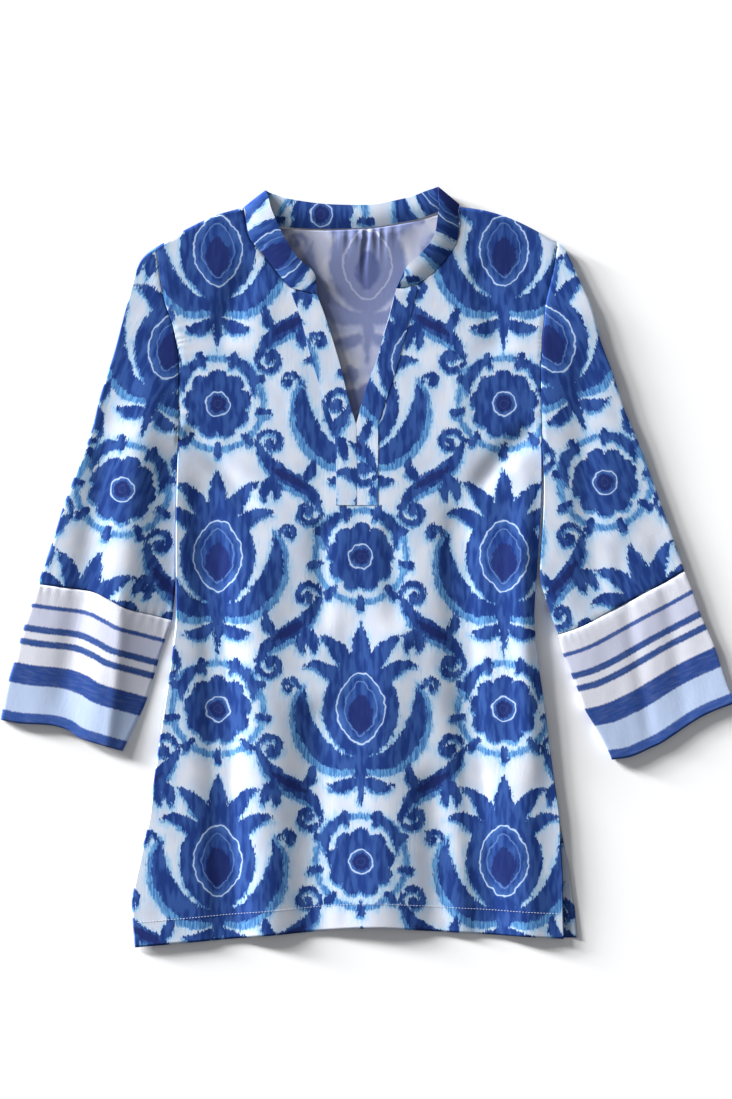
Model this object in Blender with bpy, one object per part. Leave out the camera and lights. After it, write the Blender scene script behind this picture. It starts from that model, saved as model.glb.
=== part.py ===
"""A tunic top of thin printed cloth, laid flat on its back, face up.

The cloth is built the way it is cut and sewn: back, front with a notched neck, two sleeves, two
striped cuff bands, a stand collar and the two strips that face the neck slit. Tables give
millimetres across from the centre line and up from the lowest point of the hem. The part's own
frame is in metres, +Z up, with its origin on the surface below the middle of the whole garment.
Left and right are as seen from above, with the collar away from the viewer.
"""

from collections import namedtuple

import bpy
import numpy as np


def rows_of(kind, *rows):
    """A table's rows, each with named columns."""
    return [kind(*row) for row in rows]


MM = 0.001
MIDDLE_ACROSS = 12.0
MIDDLE_UP = 398.72

WALL = 1.2
SEAM_GAP = 0.4
ARMHOLE_GAP = 0.9
LOFT = 3.2
FRONT_REST = 2 * WALL + 0.3
FRONT_TOP = FRONT_REST + LOFT
SIDE_ROUNDING = 12.0
HEM_SETTLE = 70.0
HEM_LOFT_SHARE = 0.35

ROW_STEPS = {"neck": 12.0, "slit": 22.0, "body": 24.0}
PANEL_COLUMNS = 10
PANEL_CROWDING = 1.15
FACING_COLUMNS = 2
TUBE_COLUMNS = 11
SLEEVE_ROWS = 13
CUFF_ROWS = 6
COLLAR_STEP = 10.0
COLLAR_COLUMNS = 4
CURVE_STEPS = 40

# One row for each section across half of the front, from the neck to the hem. The edge is the
# neck seam, then the slit, then the centre line.
Section = namedtuple("Section", "side_x side_y facing_x facing_y edge_x edge_y")
FRONT_LEFT = {
    "neck": rows_of(
        Section,
        (-210, 735, -144, 766, -119, 776),
        (-208, 719, -143, 751, -116, 761),
        (-205, 697, -140, 731, -112, 743),
        (-201, 676, -128, 713, -101, 730),
        (-194, 656, -106, 696, -82, 706),
        (-190, 639, -94, 688, -70, 692),
    ),
    "slit": rows_of(
        Section,
        (-188, 629, -69, 687, -42, 685),
        (-187, 606, -58, 656, -32, 658),
        (-187, 574, -48, 618, -19, 616),
        (-187, 548, -36, 580, -10, 580),
        (-188, 527, -24, 549, -1, 549),
    ),
    "body": rows_of(
        Section,
        (-188, 527, -24, 549, -1, 549),
        (-189, 490, -22, 505, 0, 505),
        (-190, 448, -22, 461, 0, 461),
        (-190, 396, -22, 404, 0, 404),
        (-190, 343, -22, 352, 0, 352),
        (-195, 301, -22, 310, 0, 310),
        (-201, 259, -23, 269, 0, 270),
        (-209, 205, -25, 216, 0, 217),
        (-214, 169, -26, 183, 0, 184),
        (-218, 135, -27, 150, 0, 151),
        (-225, 104, -28, 120, 0, 121),
        (-234, 62, -29, 79, 0, 80),
        (-236, 41, -29, 59, 0, 60),
        (-233, 0, -29, 18, 0, 20),
    ),
}
FRONT_RIGHT = {
    "neck": rows_of(
        Section,
        (210, 739, 133, 768, 107, 777),
        (207, 719, 134, 754, 107, 761),
        (203, 697, 132, 733, 105, 742),
        (198, 676, 121, 715, 96, 726),
        (196, 656, 106, 699, 81, 709),
        (194, 639, 88, 690, 64, 696),
    ),
    "slit": rows_of(
        Section,
        (194, 629, 63, 690, 41, 691),
        (193, 606, 55, 658, 33, 660),
        (193, 574, 44, 616, 20, 616),
        (194, 548, 33, 582, 8, 582),
        (194, 527, 22, 549, -1, 549),
    ),
    "body": rows_of(
        Section,
        (194, 527, 22, 549, -1, 549),
        (194, 490, 22, 505, 0, 505),
        (192, 448, 22, 461, 0, 461),
        (189, 396, 22, 404, 0, 404),
        (186, 349, 22, 352, 0, 352),
        (190, 301, 22, 310, 0, 310),
        (196, 259, 23, 269, 0, 270),
        (202, 212, 24, 217, 0, 217),
        (207, 175, 25, 184, 0, 184),
        (212, 142, 26, 151, 0, 151),
        (214, 109, 27, 121, 0, 121),
        (216, 70, 28, 80, 0, 80),
        (216, 43, 28, 59, 0, 60),
        (217, 9, 28, 20, 0, 20),
    ),
}
FRONT = {"left": FRONT_LEFT, "right": FRONT_RIGHT}
SHOULDER_BOW = {"left": 4.0, "right": 7.0}
FACING_END_UP = 461.0

# The back's sides below the arms, where they differ from the front's: on the right the slit in
# the side seam shows its edge, on the left it lies hidden.
BACK_TUCK = 1.0
BACK_RIGHT_VENT = ((207, 175), (211, 142), (217, 109), (223, 83), (226, 60), (229, 37), (232, 10))
BACK_LEFT_VENT = ((-213, 169), (-216, 135), (-222, 104), (-230, 62), (-231, 41), (-228, 2))
BACK_NECK = ((-119, 775), (-100, 761), (-78, 754), (-34, 752), (14, 754), (40, 758), (66, 763), (107, 776))
BACK_SHOULDER = {"left": (-168, 757), "right": (155, 764)}
BACK_HEM = ((-228, 2), (-112, 12), (-29, 20), (28, 22), (120, 18), (216, 10), (232, 10))
BACK_ROW_DROPS = (0, 4, 10, 18, 30, 46, 72, 112, 160, 215, 270, 325, 380, 435, 490, 545, 600, 655, 710, 775)
BACK_NECK_SETTLES = 0.95
BACK_SHOULDER_COLUMNS = (-208, -202, -190, -165, -142, 130, 155, 180, 198, 206)
BACK_NECK_COLUMNS = (-119, -98, -72, 70, 88, 107)
BESIDE_GATHERS = 8.0

# The small gathers that ease the back into the collar, one row each.
Gather = namedtuple("Gather", "across half_width height length")
GATHERS = rows_of(
    Gather,
    (-41, 4.0, 1.6, 32),
    (-30, 4.0, 2.2, 42),
    (-18, 5.0, 2.8, 56),
    (-1, 6.5, 3.4, 88),
    (14, 4.0, 3.0, 62),
    (24, 4.0, 2.6, 50),
    (36, 4.5, 2.0, 42),
    (46, 4.0, 1.5, 32),
)

# Broad soft folds, one row each: a line through three places, then the width each way and the
# height. A trough has a height below zero. Each fades over a share of its length at both ends.
FOLD_FADE = 0.2
FOLD_LINE_POINTS = 13
Fold = namedtuple("Fold", "x_1 y_1 x_2 y_2 x_3 y_3 half_width height")
FRONT_FOLDS = rows_of(
    Fold,
    (-165, 522, -147, 322, -131, -30, 20, -2.4),
    (103, 501, 114, 280, 142, -30, 18, -2.6),
    (-37, 270, -45, 165, -49, -30, 22, -1.6),
    (77, 196, 83, 102, 84, -30, 18, -1.5),
    (-107, 448, -100, 259, -93, -30, 28, 2.0),
    (40, 380, 29, 207, 19, -30, 28, 1.8),
    (166, 469, 171, 259, 182, -30, 18, 1.6),
    (-186, 548, -149, 511, -100, 448, 12, -1.6),
    (192, 548, 155, 517, 119, 469, 12, -1.7),
    (-100, 719, -128, 679, -142, 627, 15, -1.2),
    (119, 719, 142, 669, 150, 616, 15, -1.2),
    (-34, 454, -38, 406, -36, 322, 13, -1.2),
    (34, 454, 38, 396, 41, 322, 13, -1.1),
)
SLEEVE_FOLDS = {
    "left": rows_of(
        Fold,
        (-217, 600, -216, 469, -247, 200, 9, -2.3),
        (-203, 570, -201, 480, -208, 380, 7, 2.2),
        (-247, 600, -262, 450, -305, 200, 18, 1.8),
    ),
    "right": rows_of(
        Fold,
        (205, 600, 203, 490, 213, 385, 7, -2.2),
        (268, 420, 282, 338, 313, 200, 12, -2.2),
        (229, 590, 245, 427, 285, 200, 13, 1.9),
        (300, 440, 322, 370, 352, 200, 16, 1.4),
    ),
}

SLEEVE_OUTER = {
    "left": (
        (-211, 735), (-219, 729), (-227, 720), (-233, 706), (-239, 684), (-247, 653),
        (-256, 620), (-269, 580), (-280, 538), (-306, 469), (-319, 427), (-335, 381),
    ),
    "right": (
        (211, 738), (217, 733), (226, 716), (236, 693), (245, 673), (255, 637),
        (268, 602), (279, 567), (294, 532), (315, 475), (329, 435), (343, 395),
    ),
}
SLEEVE_INNER = {
    "left": ((-189, 526), (-191, 490), (-192, 448), (-193, 406), (-193, 375), (-195, 343)),
    "right": ((195, 526), (196, 490), (195, 448), (193, 417), (192, 388), (200, 358), (211, 328)),
}
CUFF_OUTER = {
    "left": ((-335, 381), (-342, 359), (-350, 335), (-360, 299), (-368, 272), (-374, 239)),
    "right": ((343, 395), (351, 375), (359, 352), (375, 315), (382, 293), (390, 270), (398, 257)),
}
CUFF_INNER = {
    "left": ((-195, 343), (-202, 321), (-209, 299), (-220, 262), (-228, 243), (-246, 206)),
    "right": ((211, 328), (216, 307), (231, 271), (238, 251), (250, 231), (264, 205), (267, 197)),
}
CUFF_SEAM = {
    "left": ((-335, 381), (-312, 378), (-278, 373), (-259, 364), (-243, 356), (-217, 349), (-195, 343)),
    "right": ((343, 395), (318, 380), (291, 366), (265, 352), (247, 342), (229, 334), (211, 328)),
}
CUFF_HEM = {
    "left": ((-374, 239), (-354, 235), (-322, 233), (-303, 228), (-291, 220), (-270, 213), (-246, 206)),
    "right": ((398, 257), (362, 242), (322, 216), (308, 209), (287, 200), (267, 197)),
}
TUBE_HEIGHT = FRONT_TOP
TUBE_ROUNDING = 7.0
TUBE_EDGE_SHARE = 0.45
CUFF_HEM_HEIGHT = 5.0

# One row for each section of the collar, round from its left end: where its seam lies and where
# its free edge lies. At the sides of the neck it folds over, from the front down to the back.
# Below the given height its seam lies on the front's neck edge, one seam gap away.
COLLAR_ON_FRONT_BELOW = 764.0
CollarSection = namedtuple("CollarSection", "seam_x seam_y seam_z edge_x edge_y edge_z")
COLLAR_SECTIONS = rows_of(
    CollarSection,
    (-48, 691.5, 5.6, -43, 697, 6.4),
    (-57, 694, 5.5, -44.5, 706, 7.6),
    (-68, 698, 5.4, -51, 714, 8.4),
    (-79.5, 707, 5.4, -61, 722, 9.2),
    (-90, 719, 5.4, -69, 733, 9.8),
    (-100, 733, 5.4, -77, 746, 10.2),
    (-109, 748, 5.6, -84, 761, 10.4),
    (-114, 763, 6.0, -90, 775, 10.2),
    (-116.5, 771.5, 5.8, -93, 788, 8.8),
    (-118, 776, 4.0, -95.5, 793.5, 6.0),
    (-115, 776, 1.6, -92, 792, 2.8),
    (-102, 764.5, 0.9, -81, 788, 1.9),
    (-79, 756.5, 0.8, -70, 785, 2.0),
    (-34, 754, 0.8, -34, 780, 2.4),
    (14, 756, 0.8, 12, 779, 2.6),
    (40, 760, 0.8, 37, 783, 2.4),
    (66, 765, 0.8, 58, 788, 2.0),
    (91, 775, 0.9, 71, 793, 1.9),
    (103, 779.5, 1.6, 80, 796, 2.8),
    (107, 779, 4.0, 85, 797, 6.0),
    (106, 773, 5.8, 85, 790, 8.6),
    (105.5, 761, 6.0, 86, 777, 10.0),
    (104.5, 748, 5.6, 84, 763, 10.4),
    (102, 738, 5.4, 82, 750, 10.2),
    (94, 726, 5.4, 76, 738, 9.6),
    (83, 712, 5.4, 65, 726, 9.0),
    (71, 702, 5.4, 55, 717, 8.4),
    (60, 699, 5.6, 50, 710, 7.4),
)


def spline(points, at):
    """Places on a smooth curve through the points. A whole number in at is the point itself."""
    points = np.array(points, float)
    ends = [2 * points[0] - points[1], *points, 2 * points[-1] - points[-2]]
    start = np.clip(np.floor(at).astype(int), 0, len(points) - 2)
    t = (at - start)[:, None]
    before, here, there, after = (np.array(ends)[start + k] for k in range(4))
    bend = 2 * before - 5 * here + 4 * there - after
    twist = 3 * here - before - 3 * there + after
    return here + 0.5 * t * (there - before + t * (bend + t * twist))


def fine_curve(points):
    return spline(points, np.linspace(0, len(points) - 1, CURVE_STEPS * len(points)))


def spread(points, counts):
    """The curve through the points, with the given number of steps between each two."""
    at = [k + np.arange(n) / n for k, n in enumerate(counts)] + [[len(points) - 1]]
    return spline(points, np.concatenate(at))


def even(points, shares):
    """The curve through the points, read at shares of its length."""
    fine = fine_curve(points)
    length = np.concatenate([[0], np.cumsum(np.linalg.norm(np.diff(fine, axis=0), axis=1))])
    return np.stack([np.interp(shares * length[-1], length, fine[:, k]) for k in range(2)], axis=1)


def step_counts(points, step):
    lengths = np.linalg.norm(np.diff(np.array(points, float)[:, :2], axis=0), axis=1)
    return [max(1, round(length / step)) for length in lengths]


def distance_to(x, y, line):
    """How far each place is from a line of points, and how far along it, from 0 to 1."""
    best = np.full(np.shape(x), np.inf)
    along = np.zeros(np.shape(x))
    for k, (a, b) in enumerate(zip(line[:-1], line[1:])):
        way = b - a
        share = np.clip(((x - a[0]) * way[0] + (y - a[1]) * way[1]) / (way @ way), 0, 1)
        far = np.hypot(x - a[0] - share * way[0], y - a[1] - share * way[1])
        along = np.where(far < best, (k + share) / (len(line) - 1), along)
        best = np.minimum(best, far)
    return best, along


def smooth(share):
    """A soft step from 0 to 1."""
    share = np.clip(share, 0, 1)
    return share * share * (3 - 2 * share)


def fold_heights(x, y, folds):
    """The height that soft folds add at each place."""
    total = np.zeros(np.shape(x))
    for fold in folds:
        places = ((fold.x_1, fold.y_1), (fold.x_2, fold.y_2), (fold.x_3, fold.y_3))
        line = spline(places, np.linspace(0, 2, FOLD_LINE_POINTS))
        far, along = distance_to(x, y, line)
        fade = smooth(np.minimum(along, 1 - along) / FOLD_FADE)
        total += fold.height * fade * np.exp(-((far / fold.half_width) ** 2))
    return total


def side_points(side, zones):
    return [(row.side_x, row.side_y) for zone in zones for row in FRONT[side][zone]]


def seams_of_front():
    """The edges of the front that are sewn to the back: its shoulders and its side seams."""
    lines = []
    for side in ("left", "right"):
        top = FRONT[side]["neck"][0]
        lines.append(np.array([(top.side_x, top.side_y), (top.edge_x, top.edge_y)], float))
        lines.append(np.array(side_points(side, ("body",)), float))
    return lines


def front_height(x, y):
    """The upper face of the front: it drops to the back at each seam, and rests lower at the hem."""
    near = np.min([distance_to(x, y, line)[0] for line in seams_of_front()], axis=0)
    rise = 1 - (1 - np.clip(near / SIDE_ROUNDING, 0, 1)) ** 2
    share = HEM_LOFT_SHARE + (1 - HEM_LOFT_SHARE) * smooth(y / HEM_SETTLE)
    loft = rise * (LOFT * share + fold_heights(x, y, FRONT_FOLDS))
    return FRONT_REST + np.maximum(loft, 0)


def back_height(x, y):
    """The upper face of the back, flat on the surface but for the gathers under the collar."""
    neck = np.array(BACK_NECK, float)
    drop = np.interp(x, neck[:, 0], neck[:, 1]) - y
    height = np.full(np.shape(x), WALL)
    for gather in GATHERS:
        fade = np.clip(1 - drop / gather.length, 0, 1)
        height += gather.height * fade * fade * np.exp(-(((x - gather.across) / gather.half_width) ** 2))
    return height


def front_steps():
    """Steps between each two sections of the front, the same on both halves."""
    return {
        zone: step_counts([(row.edge_x, row.edge_y) for row in rows], ROW_STEPS[zone])
        for zone, rows in FRONT["left"].items()
    }


def slit_rows():
    """The front's first row on the slit, and the row where the slit ends."""
    steps = front_steps()
    top = sum(steps["neck"]) + 1
    return top, top + sum(steps["slit"])


def front_half(side):
    """Points across and up for one half of the front: rows down it, columns from side to edge."""
    table, steps = FRONT[side], front_steps()
    neck = spread(table["neck"], steps["neck"])
    slit = spread(table["slit"], steps["slit"])[:-1]
    body = spread(table["body"], steps["body"])
    rows = np.vstack([neck, slit, body])[:, None, :]
    outer, facing, edge = rows[:, :, :2], rows[:, :, 2:4], rows[:, :, 4:]
    wide = np.linspace(0, 1, PANEL_COLUMNS + 1)[None, :, None] ** PANEL_CROWDING
    narrow = np.linspace(0, 1, FACING_COLUMNS + 1)[None, 1:, None]
    points = np.concatenate([outer + wide * (facing - outer), facing + narrow * (edge - facing)], axis=1)
    across = (points[0, :, 0] - points[0, 0, 0]) / (points[0, -1, 0] - points[0, 0, 0])
    fade = np.clip(1 - np.arange(len(points)) / (len(neck) - 1), 0, 1)
    points[:, :, 1] += fade[:, None] * SHOULDER_BOW[side] * np.sin(np.pi * across)[None, :]
    return points


def grid_faces(index):
    """Four-sided faces between neighbours of a grid of point numbers."""
    corners = np.stack([index[:-1, :-1], index[1:, :-1], index[1:, 1:], index[:-1, 1:]], axis=-1)
    return [tuple(face) for face in corners.reshape(-1, 4).tolist()]


def turned(faces):
    """The same faces, seen from their other side."""
    return [face[::-1] for face in faces]


def principled(name, colour, roughness=0.7):
    material = bpy.data.materials.new(name)
    material.use_nodes = True
    shader = material.node_tree.nodes["Principled BSDF"]
    shader.inputs["Base Color"].default_value = (*colour, 1)
    shader.inputs["Roughness"].default_value = roughness
    return material


def sheet_object(name, points, faces, material, offset=-1.0):
    """One piece of cloth: a sheet through the points, thickened to a closed wall."""
    mesh = bpy.data.meshes.new(name)
    placed = np.array(points, float).reshape(-1, 3) - (MIDDLE_ACROSS, MIDDLE_UP, 0)
    mesh.from_pydata([tuple(p) for p in placed * MM], [], faces)
    mesh.validate()
    mesh.update()
    mesh.materials.append(material)
    mesh.shade_smooth()
    piece = bpy.data.objects.new(name, mesh)
    bpy.context.scene.collection.objects.link(piece)
    wall = piece.modifiers.new("cloth wall", "SOLIDIFY")
    wall.thickness = WALL * MM
    wall.offset = offset
    wall.use_rim = True
    return piece


def make_front(material):
    """Both halves, joined down the centre line below the slit."""
    left, right = front_half("left"), front_half("right")
    slit_end = slit_rows()[1]
    left_index = np.arange(left[:, :, 0].size).reshape(left.shape[:2])
    right_index = left_index.size + left_index
    right_index[slit_end:, -1] = left_index[slit_end:, -1]
    plan = np.vstack([left.reshape(-1, 2), right.reshape(-1, 2)])
    points = np.column_stack([plan, front_height(plan[:, 0], plan[:, 1])])
    faces = np.array(grid_faces(left_index) + turned(grid_faces(right_index)))
    used, renumbered = np.unique(faces, return_inverse=True)
    faces = [tuple(face) for face in renumbered.reshape(faces.shape).tolist()]
    return sheet_object("front", points[used], faces, material)


def make_facing(side, material):
    """The strip on the front beside the slit: the front's own points there, moved out."""
    sign = -1 if side == "left" else 1
    points = front_half(side)[slit_rows()[0] :, -FACING_COLUMNS - 1 :]
    points = points[points[:, -1, 1] > FACING_END_UP - SEAM_GAP]
    points[:, -1, 0] += sign * SEAM_GAP / 2
    height = front_height(points[:, :, 0], points[:, :, 1]) + SEAM_GAP + WALL
    faces = grid_faces(np.arange(height.size).reshape(height.shape))
    faces = faces if side == "left" else turned(faces)
    return sheet_object("facing_" + side, np.dstack([points, height]), faces, material)


def back_columns():
    """Places across the back: on each gather and between them, and wider apart at the shoulders."""
    peaks = np.array([gather.across for gather in GATHERS], float)
    between = (peaks[:-1] + peaks[1:]) / 2
    beside = [peaks[0] - BESIDE_GATHERS, peaks[-1] + BESIDE_GATHERS]
    columns = [peaks, between, beside, BACK_NECK_COLUMNS, BACK_SHOULDER_COLUMNS]
    return np.unique(np.concatenate(columns))


def back_side(side, vent):
    """One side of the back, just inside the front's down to where the side slit starts."""
    sign = 1 if side == "left" else -1
    outline = side_points(side, ("neck", "slit")) + side_points(side, ("body",))[1:]
    return [(x + sign * BACK_TUCK, y) for x, y in outline if y > vent[0][1]] + list(vent)


def make_back(material):
    """One panel from side to side, from the shoulders and the neck seam to the hem."""
    shares = np.array(BACK_ROW_DROPS) / BACK_ROW_DROPS[-1]
    left = even(back_side("left", BACK_LEFT_VENT), shares)
    right = even(back_side("right", BACK_RIGHT_VENT), shares)
    across = back_columns()
    share = (across - across[0]) / (across[-1] - across[0])
    points = left[:, None] + share[None, :, None] * (right - left)[:, None]
    outline = [left[0], BACK_SHOULDER["left"], *BACK_NECK, BACK_SHOULDER["right"], right[0]]
    shoulders = np.array(outline, float)
    neck_lift = np.interp(across, shoulders[:, 0], shoulders[:, 1]) - points[0, :, 1]
    hem = np.array(BACK_HEM, float)
    hem_lift = np.interp(points[-1, :, 0], hem[:, 0], hem[:, 1]) - points[-1, :, 1]
    fade = np.clip(1 - shares / BACK_NECK_SETTLES, 0, 1)
    points[:, :, 1] += fade[:, None] * neck_lift + shares[:, None] ** 2 * hem_lift
    height = back_height(points[:, :, 0], points[:, :, 1])
    faces = grid_faces(np.arange(height.size).reshape(height.shape))
    return sheet_object("back", np.dstack([points, height]), faces, material)


def tube_plan(top, bottom, outer, inner):
    """A rule for places on a flattened tube: share across it and share down it give x and y."""

    def place(across, down):
        across, down = np.broadcast_arrays(across, down)
        t, s = across.ravel(), down.ravel()
        start, end = even(top, t), even(bottom, t)
        left, right = even(outer, s), even(inner, s)
        t, s = t[:, None], s[:, None]
        top_chord = (1 - t) * np.array(top[0], float) + t * np.array(top[-1], float)
        bottom_chord = (1 - t) * np.array(bottom[0], float) + t * np.array(bottom[-1], float)
        flat = (1 - s) * top_chord + s * bottom_chord
        plan = (1 - s) * start + s * end + (1 - t) * left + t * right - flat
        return plan.reshape(*across.shape, 2)

    return place


def tube_sheet(place, rows, heights, folds):
    """The outer face of a tube that lies flat: round edges, a flat underside, folds on top."""
    turn = np.linspace(0, 2 * np.pi, 2 * TUBE_COLUMNS, endpoint=False)
    share, along = np.meshgrid(0.5 - 0.5 * np.cos(turn), np.linspace(0, 1, rows + 1))
    plan = place(share, along)
    ends = place(np.array([[0.0, 1.0]]), along[:, :1])
    width = np.linalg.norm(ends[:, 1] - ends[:, 0], axis=1)[:, None]
    near = np.minimum(share, 1 - share) * width
    bulge = np.sqrt(1 - (1 - np.clip(near / TUBE_ROUNDING, 0, 1)) ** 2)
    height = np.interp(along, (0, 1), heights)
    edge = TUBE_EDGE_SHARE * height
    above = edge + bulge * (height - edge + fold_heights(plan[:, :, 0], plan[:, :, 1], folds))
    below = edge * (1 - bulge)
    z = np.where(np.arange(2 * TUBE_COLUMNS) <= TUBE_COLUMNS, above, below)
    index = np.arange(share.size).reshape(share.shape)
    return np.dstack([plan, z]), grid_faces(np.column_stack([index, index[:, :1]]))


def armhole(side):
    """The sleeve's upper end: the front's armhole curve, moved clear of it."""
    sign = -1 if side == "left" else 1
    return [(x + sign * ARMHOLE_GAP, y) for x, y in side_points(side, ("neck", "slit"))]


def make_sleeve(side, material):
    outer = [armhole(side)[0], *SLEEVE_OUTER[side][1:]]
    inner = [armhole(side)[-1], *SLEEVE_INNER[side][1:]]
    place = tube_plan(armhole(side), CUFF_SEAM[side], outer, inner)
    points, faces = tube_sheet(place, SLEEVE_ROWS, (TUBE_HEIGHT, TUBE_HEIGHT), SLEEVE_FOLDS[side])
    faces = faces if side == "left" else turned(faces)
    return sheet_object("sleeve_" + side, points, faces, material)


def make_cuff(side, material):
    """The striped band, one seam gap below the sleeve."""
    seam = [(x, y - SEAM_GAP) for x, y in CUFF_SEAM[side]]
    outer = [seam[0], *CUFF_OUTER[side][1:]]
    inner = [seam[-1], *CUFF_INNER[side][1:]]
    place = tube_plan(seam, CUFF_HEM[side], outer, inner)
    points, faces = tube_sheet(place, CUFF_ROWS, (TUBE_HEIGHT, CUFF_HEM_HEIGHT), SLEEVE_FOLDS[side])
    faces = faces if side == "left" else turned(faces)
    return sheet_object("cuff_" + side, points, faces, material)


def neck_edge(side):
    """The front's own neck edge, up from the slit, moved out by one seam gap."""
    edge = front_half(side)[: slit_rows()[0] + 1, -1][::-1]
    edge = edge[edge[:, 1] < COLLAR_ON_FRONT_BELOW]
    counts = step_counts(edge, COLLAR_STEP)
    parts = [a + (b - a) * np.arange(n)[:, None] / n for a, b, n in zip(edge[:-1], edge[1:], counts)]
    line = np.vstack([*parts, edge[-1:]])
    along = np.gradient(line, axis=0)
    along /= np.linalg.norm(along, axis=1)[:, None]
    sign = 1 if side == "left" else -1
    return line + sign * SEAM_GAP * np.column_stack([along[:, 1], -along[:, 0]])


def collar_on_front(side):
    """The collar's sections along one side of the neck, up from the slit."""
    fine = fine_curve(COLLAR_SECTIONS)
    half = len(fine) // 2
    fine = fine[:half] if side == "left" else fine[half:]
    seam = neck_edge(side)
    nearest = [np.argmin(np.linalg.norm(fine[:, :2] - place, axis=1)) for place in seam]
    return np.column_stack([seam, fine[nearest, 2:]])


def make_collar(material):
    """The stand collar: a band round the neck that stands a little, pressed flat at the back."""
    left, right = collar_on_front("left"), collar_on_front("right")
    behind = [row for row in COLLAR_SECTIONS if row.seam_y > COLLAR_ON_FRONT_BELOW or row.seam_z < WALL]
    behind = spread(behind, step_counts(behind, COLLAR_STEP))
    rows = np.vstack([left, behind, right[::-1]])
    seam, edge = rows[:, None, :3], rows[:, None, 3:]
    points = seam + np.linspace(0, 1, COLLAR_COLUMNS + 1)[None, :, None] * (edge - seam)
    faces = grid_faces(np.arange(points[:, :, 0].size).reshape(points.shape[:2]))
    return sheet_object("collar", points, faces, material, offset=0.0)


def clear_scene():
    for item in list(bpy.data.objects):
        bpy.data.objects.remove(item)


def main():
    clear_scene()
    printed = principled("printed cloth", (0.09, 0.17, 0.42))
    inside = principled("printed cloth inside", (0.42, 0.43, 0.6))
    striped = principled("striped cloth", (0.55, 0.6, 0.78))
    make_back(inside)
    make_front(printed)
    make_collar(printed)
    for side in ("left", "right"):
        make_facing(side, printed)
        make_sleeve(side, printed)
        make_cuff(side, striped)


main()
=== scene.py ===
# %% [markdown]
# # A printed tunic top, laid flat
#
# A tunic top is made of a few flat pieces of thin cloth: a back, a front with a deep notch at the
# neck, two sleeves with a wide band at each cuff, a stand collar, and two strips that face the
# notch. Here it lies on its back on a pale table, and we look straight down on it.
#
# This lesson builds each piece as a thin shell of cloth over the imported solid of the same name.
# The solids come first, because they fix where every piece lies and how large it is.

# %% Load the frame
from collections import namedtuple

import bpy
import numpy as np
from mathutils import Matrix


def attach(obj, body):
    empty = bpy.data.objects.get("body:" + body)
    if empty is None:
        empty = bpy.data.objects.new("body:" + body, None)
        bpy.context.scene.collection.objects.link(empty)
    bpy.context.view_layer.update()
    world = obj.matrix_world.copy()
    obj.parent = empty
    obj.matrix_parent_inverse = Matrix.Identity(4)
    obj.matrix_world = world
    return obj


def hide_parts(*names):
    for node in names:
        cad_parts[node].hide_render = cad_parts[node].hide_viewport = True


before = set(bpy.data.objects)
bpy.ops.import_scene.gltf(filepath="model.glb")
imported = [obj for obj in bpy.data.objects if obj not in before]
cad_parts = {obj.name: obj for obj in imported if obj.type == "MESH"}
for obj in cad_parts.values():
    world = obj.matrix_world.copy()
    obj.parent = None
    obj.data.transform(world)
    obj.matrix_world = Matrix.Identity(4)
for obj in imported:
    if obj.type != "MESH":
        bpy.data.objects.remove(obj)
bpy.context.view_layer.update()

print("solids:", ", ".join(sorted(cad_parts)))

# %% [markdown]
# ## Measures
#
# A pattern cutter works in millimetres, so the tables do too: across from the centre line, and up
# from the lowest point of the hem. Blender works in metres, and its origin is below the middle of
# the garment, so one small function does the step from the table to the scene.

# %% From the cutter's table to the scene
MM = 0.001
MIDDLE = np.array((12.0, 398.72, 0.0))


def in_scene(places):
    return (np.array(places, float) - MIDDLE) * MM


def rows_of(kind, *rows):
    """A table's rows, each with named columns."""
    return [kind(*row) for row in rows]


print("the centre line's hem lies at", in_scene((0, 20, 0)).round(3).tolist())

# %% [markdown]
# ## The front's measures
#
# One row for each section across half of the front, from the neck down. Each row gives the side,
# the outer edge of the facing strip, and the edge of the cut, which becomes the centre line below
# it. The two halves differ by a few millimetres, as a laid garment's do.

# %% The front
Section = namedtuple("Section", "side_x side_y facing_x facing_y edge_x edge_y")
FRONT_LEFT = {
    "neck": rows_of(
        Section,
        (-210, 735, -144, 766, -119, 776),
        (-208, 719, -143, 751, -116, 761),
        (-205, 697, -140, 731, -112, 743),
        (-201, 676, -128, 713, -101, 730),
        (-194, 656, -106, 696, -82, 706),
        (-190, 639, -94, 688, -70, 692),
    ),
    "slit": rows_of(
        Section,
        (-188, 629, -69, 687, -42, 685),
        (-187, 606, -58, 656, -32, 658),
        (-187, 574, -48, 618, -19, 616),
        (-187, 548, -36, 580, -10, 580),
        (-188, 527, -24, 549, -1, 549),
    ),
    "body": rows_of(
        Section,
        (-188, 527, -24, 549, -1, 549),
        (-189, 490, -22, 505, 0, 505),
        (-190, 448, -22, 461, 0, 461),
        (-190, 396, -22, 404, 0, 404),
        (-190, 343, -22, 352, 0, 352),
        (-195, 301, -22, 310, 0, 310),
        (-201, 259, -23, 269, 0, 270),
        (-209, 205, -25, 216, 0, 217),
        (-214, 169, -26, 183, 0, 184),
        (-218, 135, -27, 150, 0, 151),
        (-225, 104, -28, 120, 0, 121),
        (-234, 62, -29, 79, 0, 80),
        (-236, 41, -29, 59, 0, 60),
        (-233, 0, -29, 18, 0, 20),
    ),
}
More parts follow.
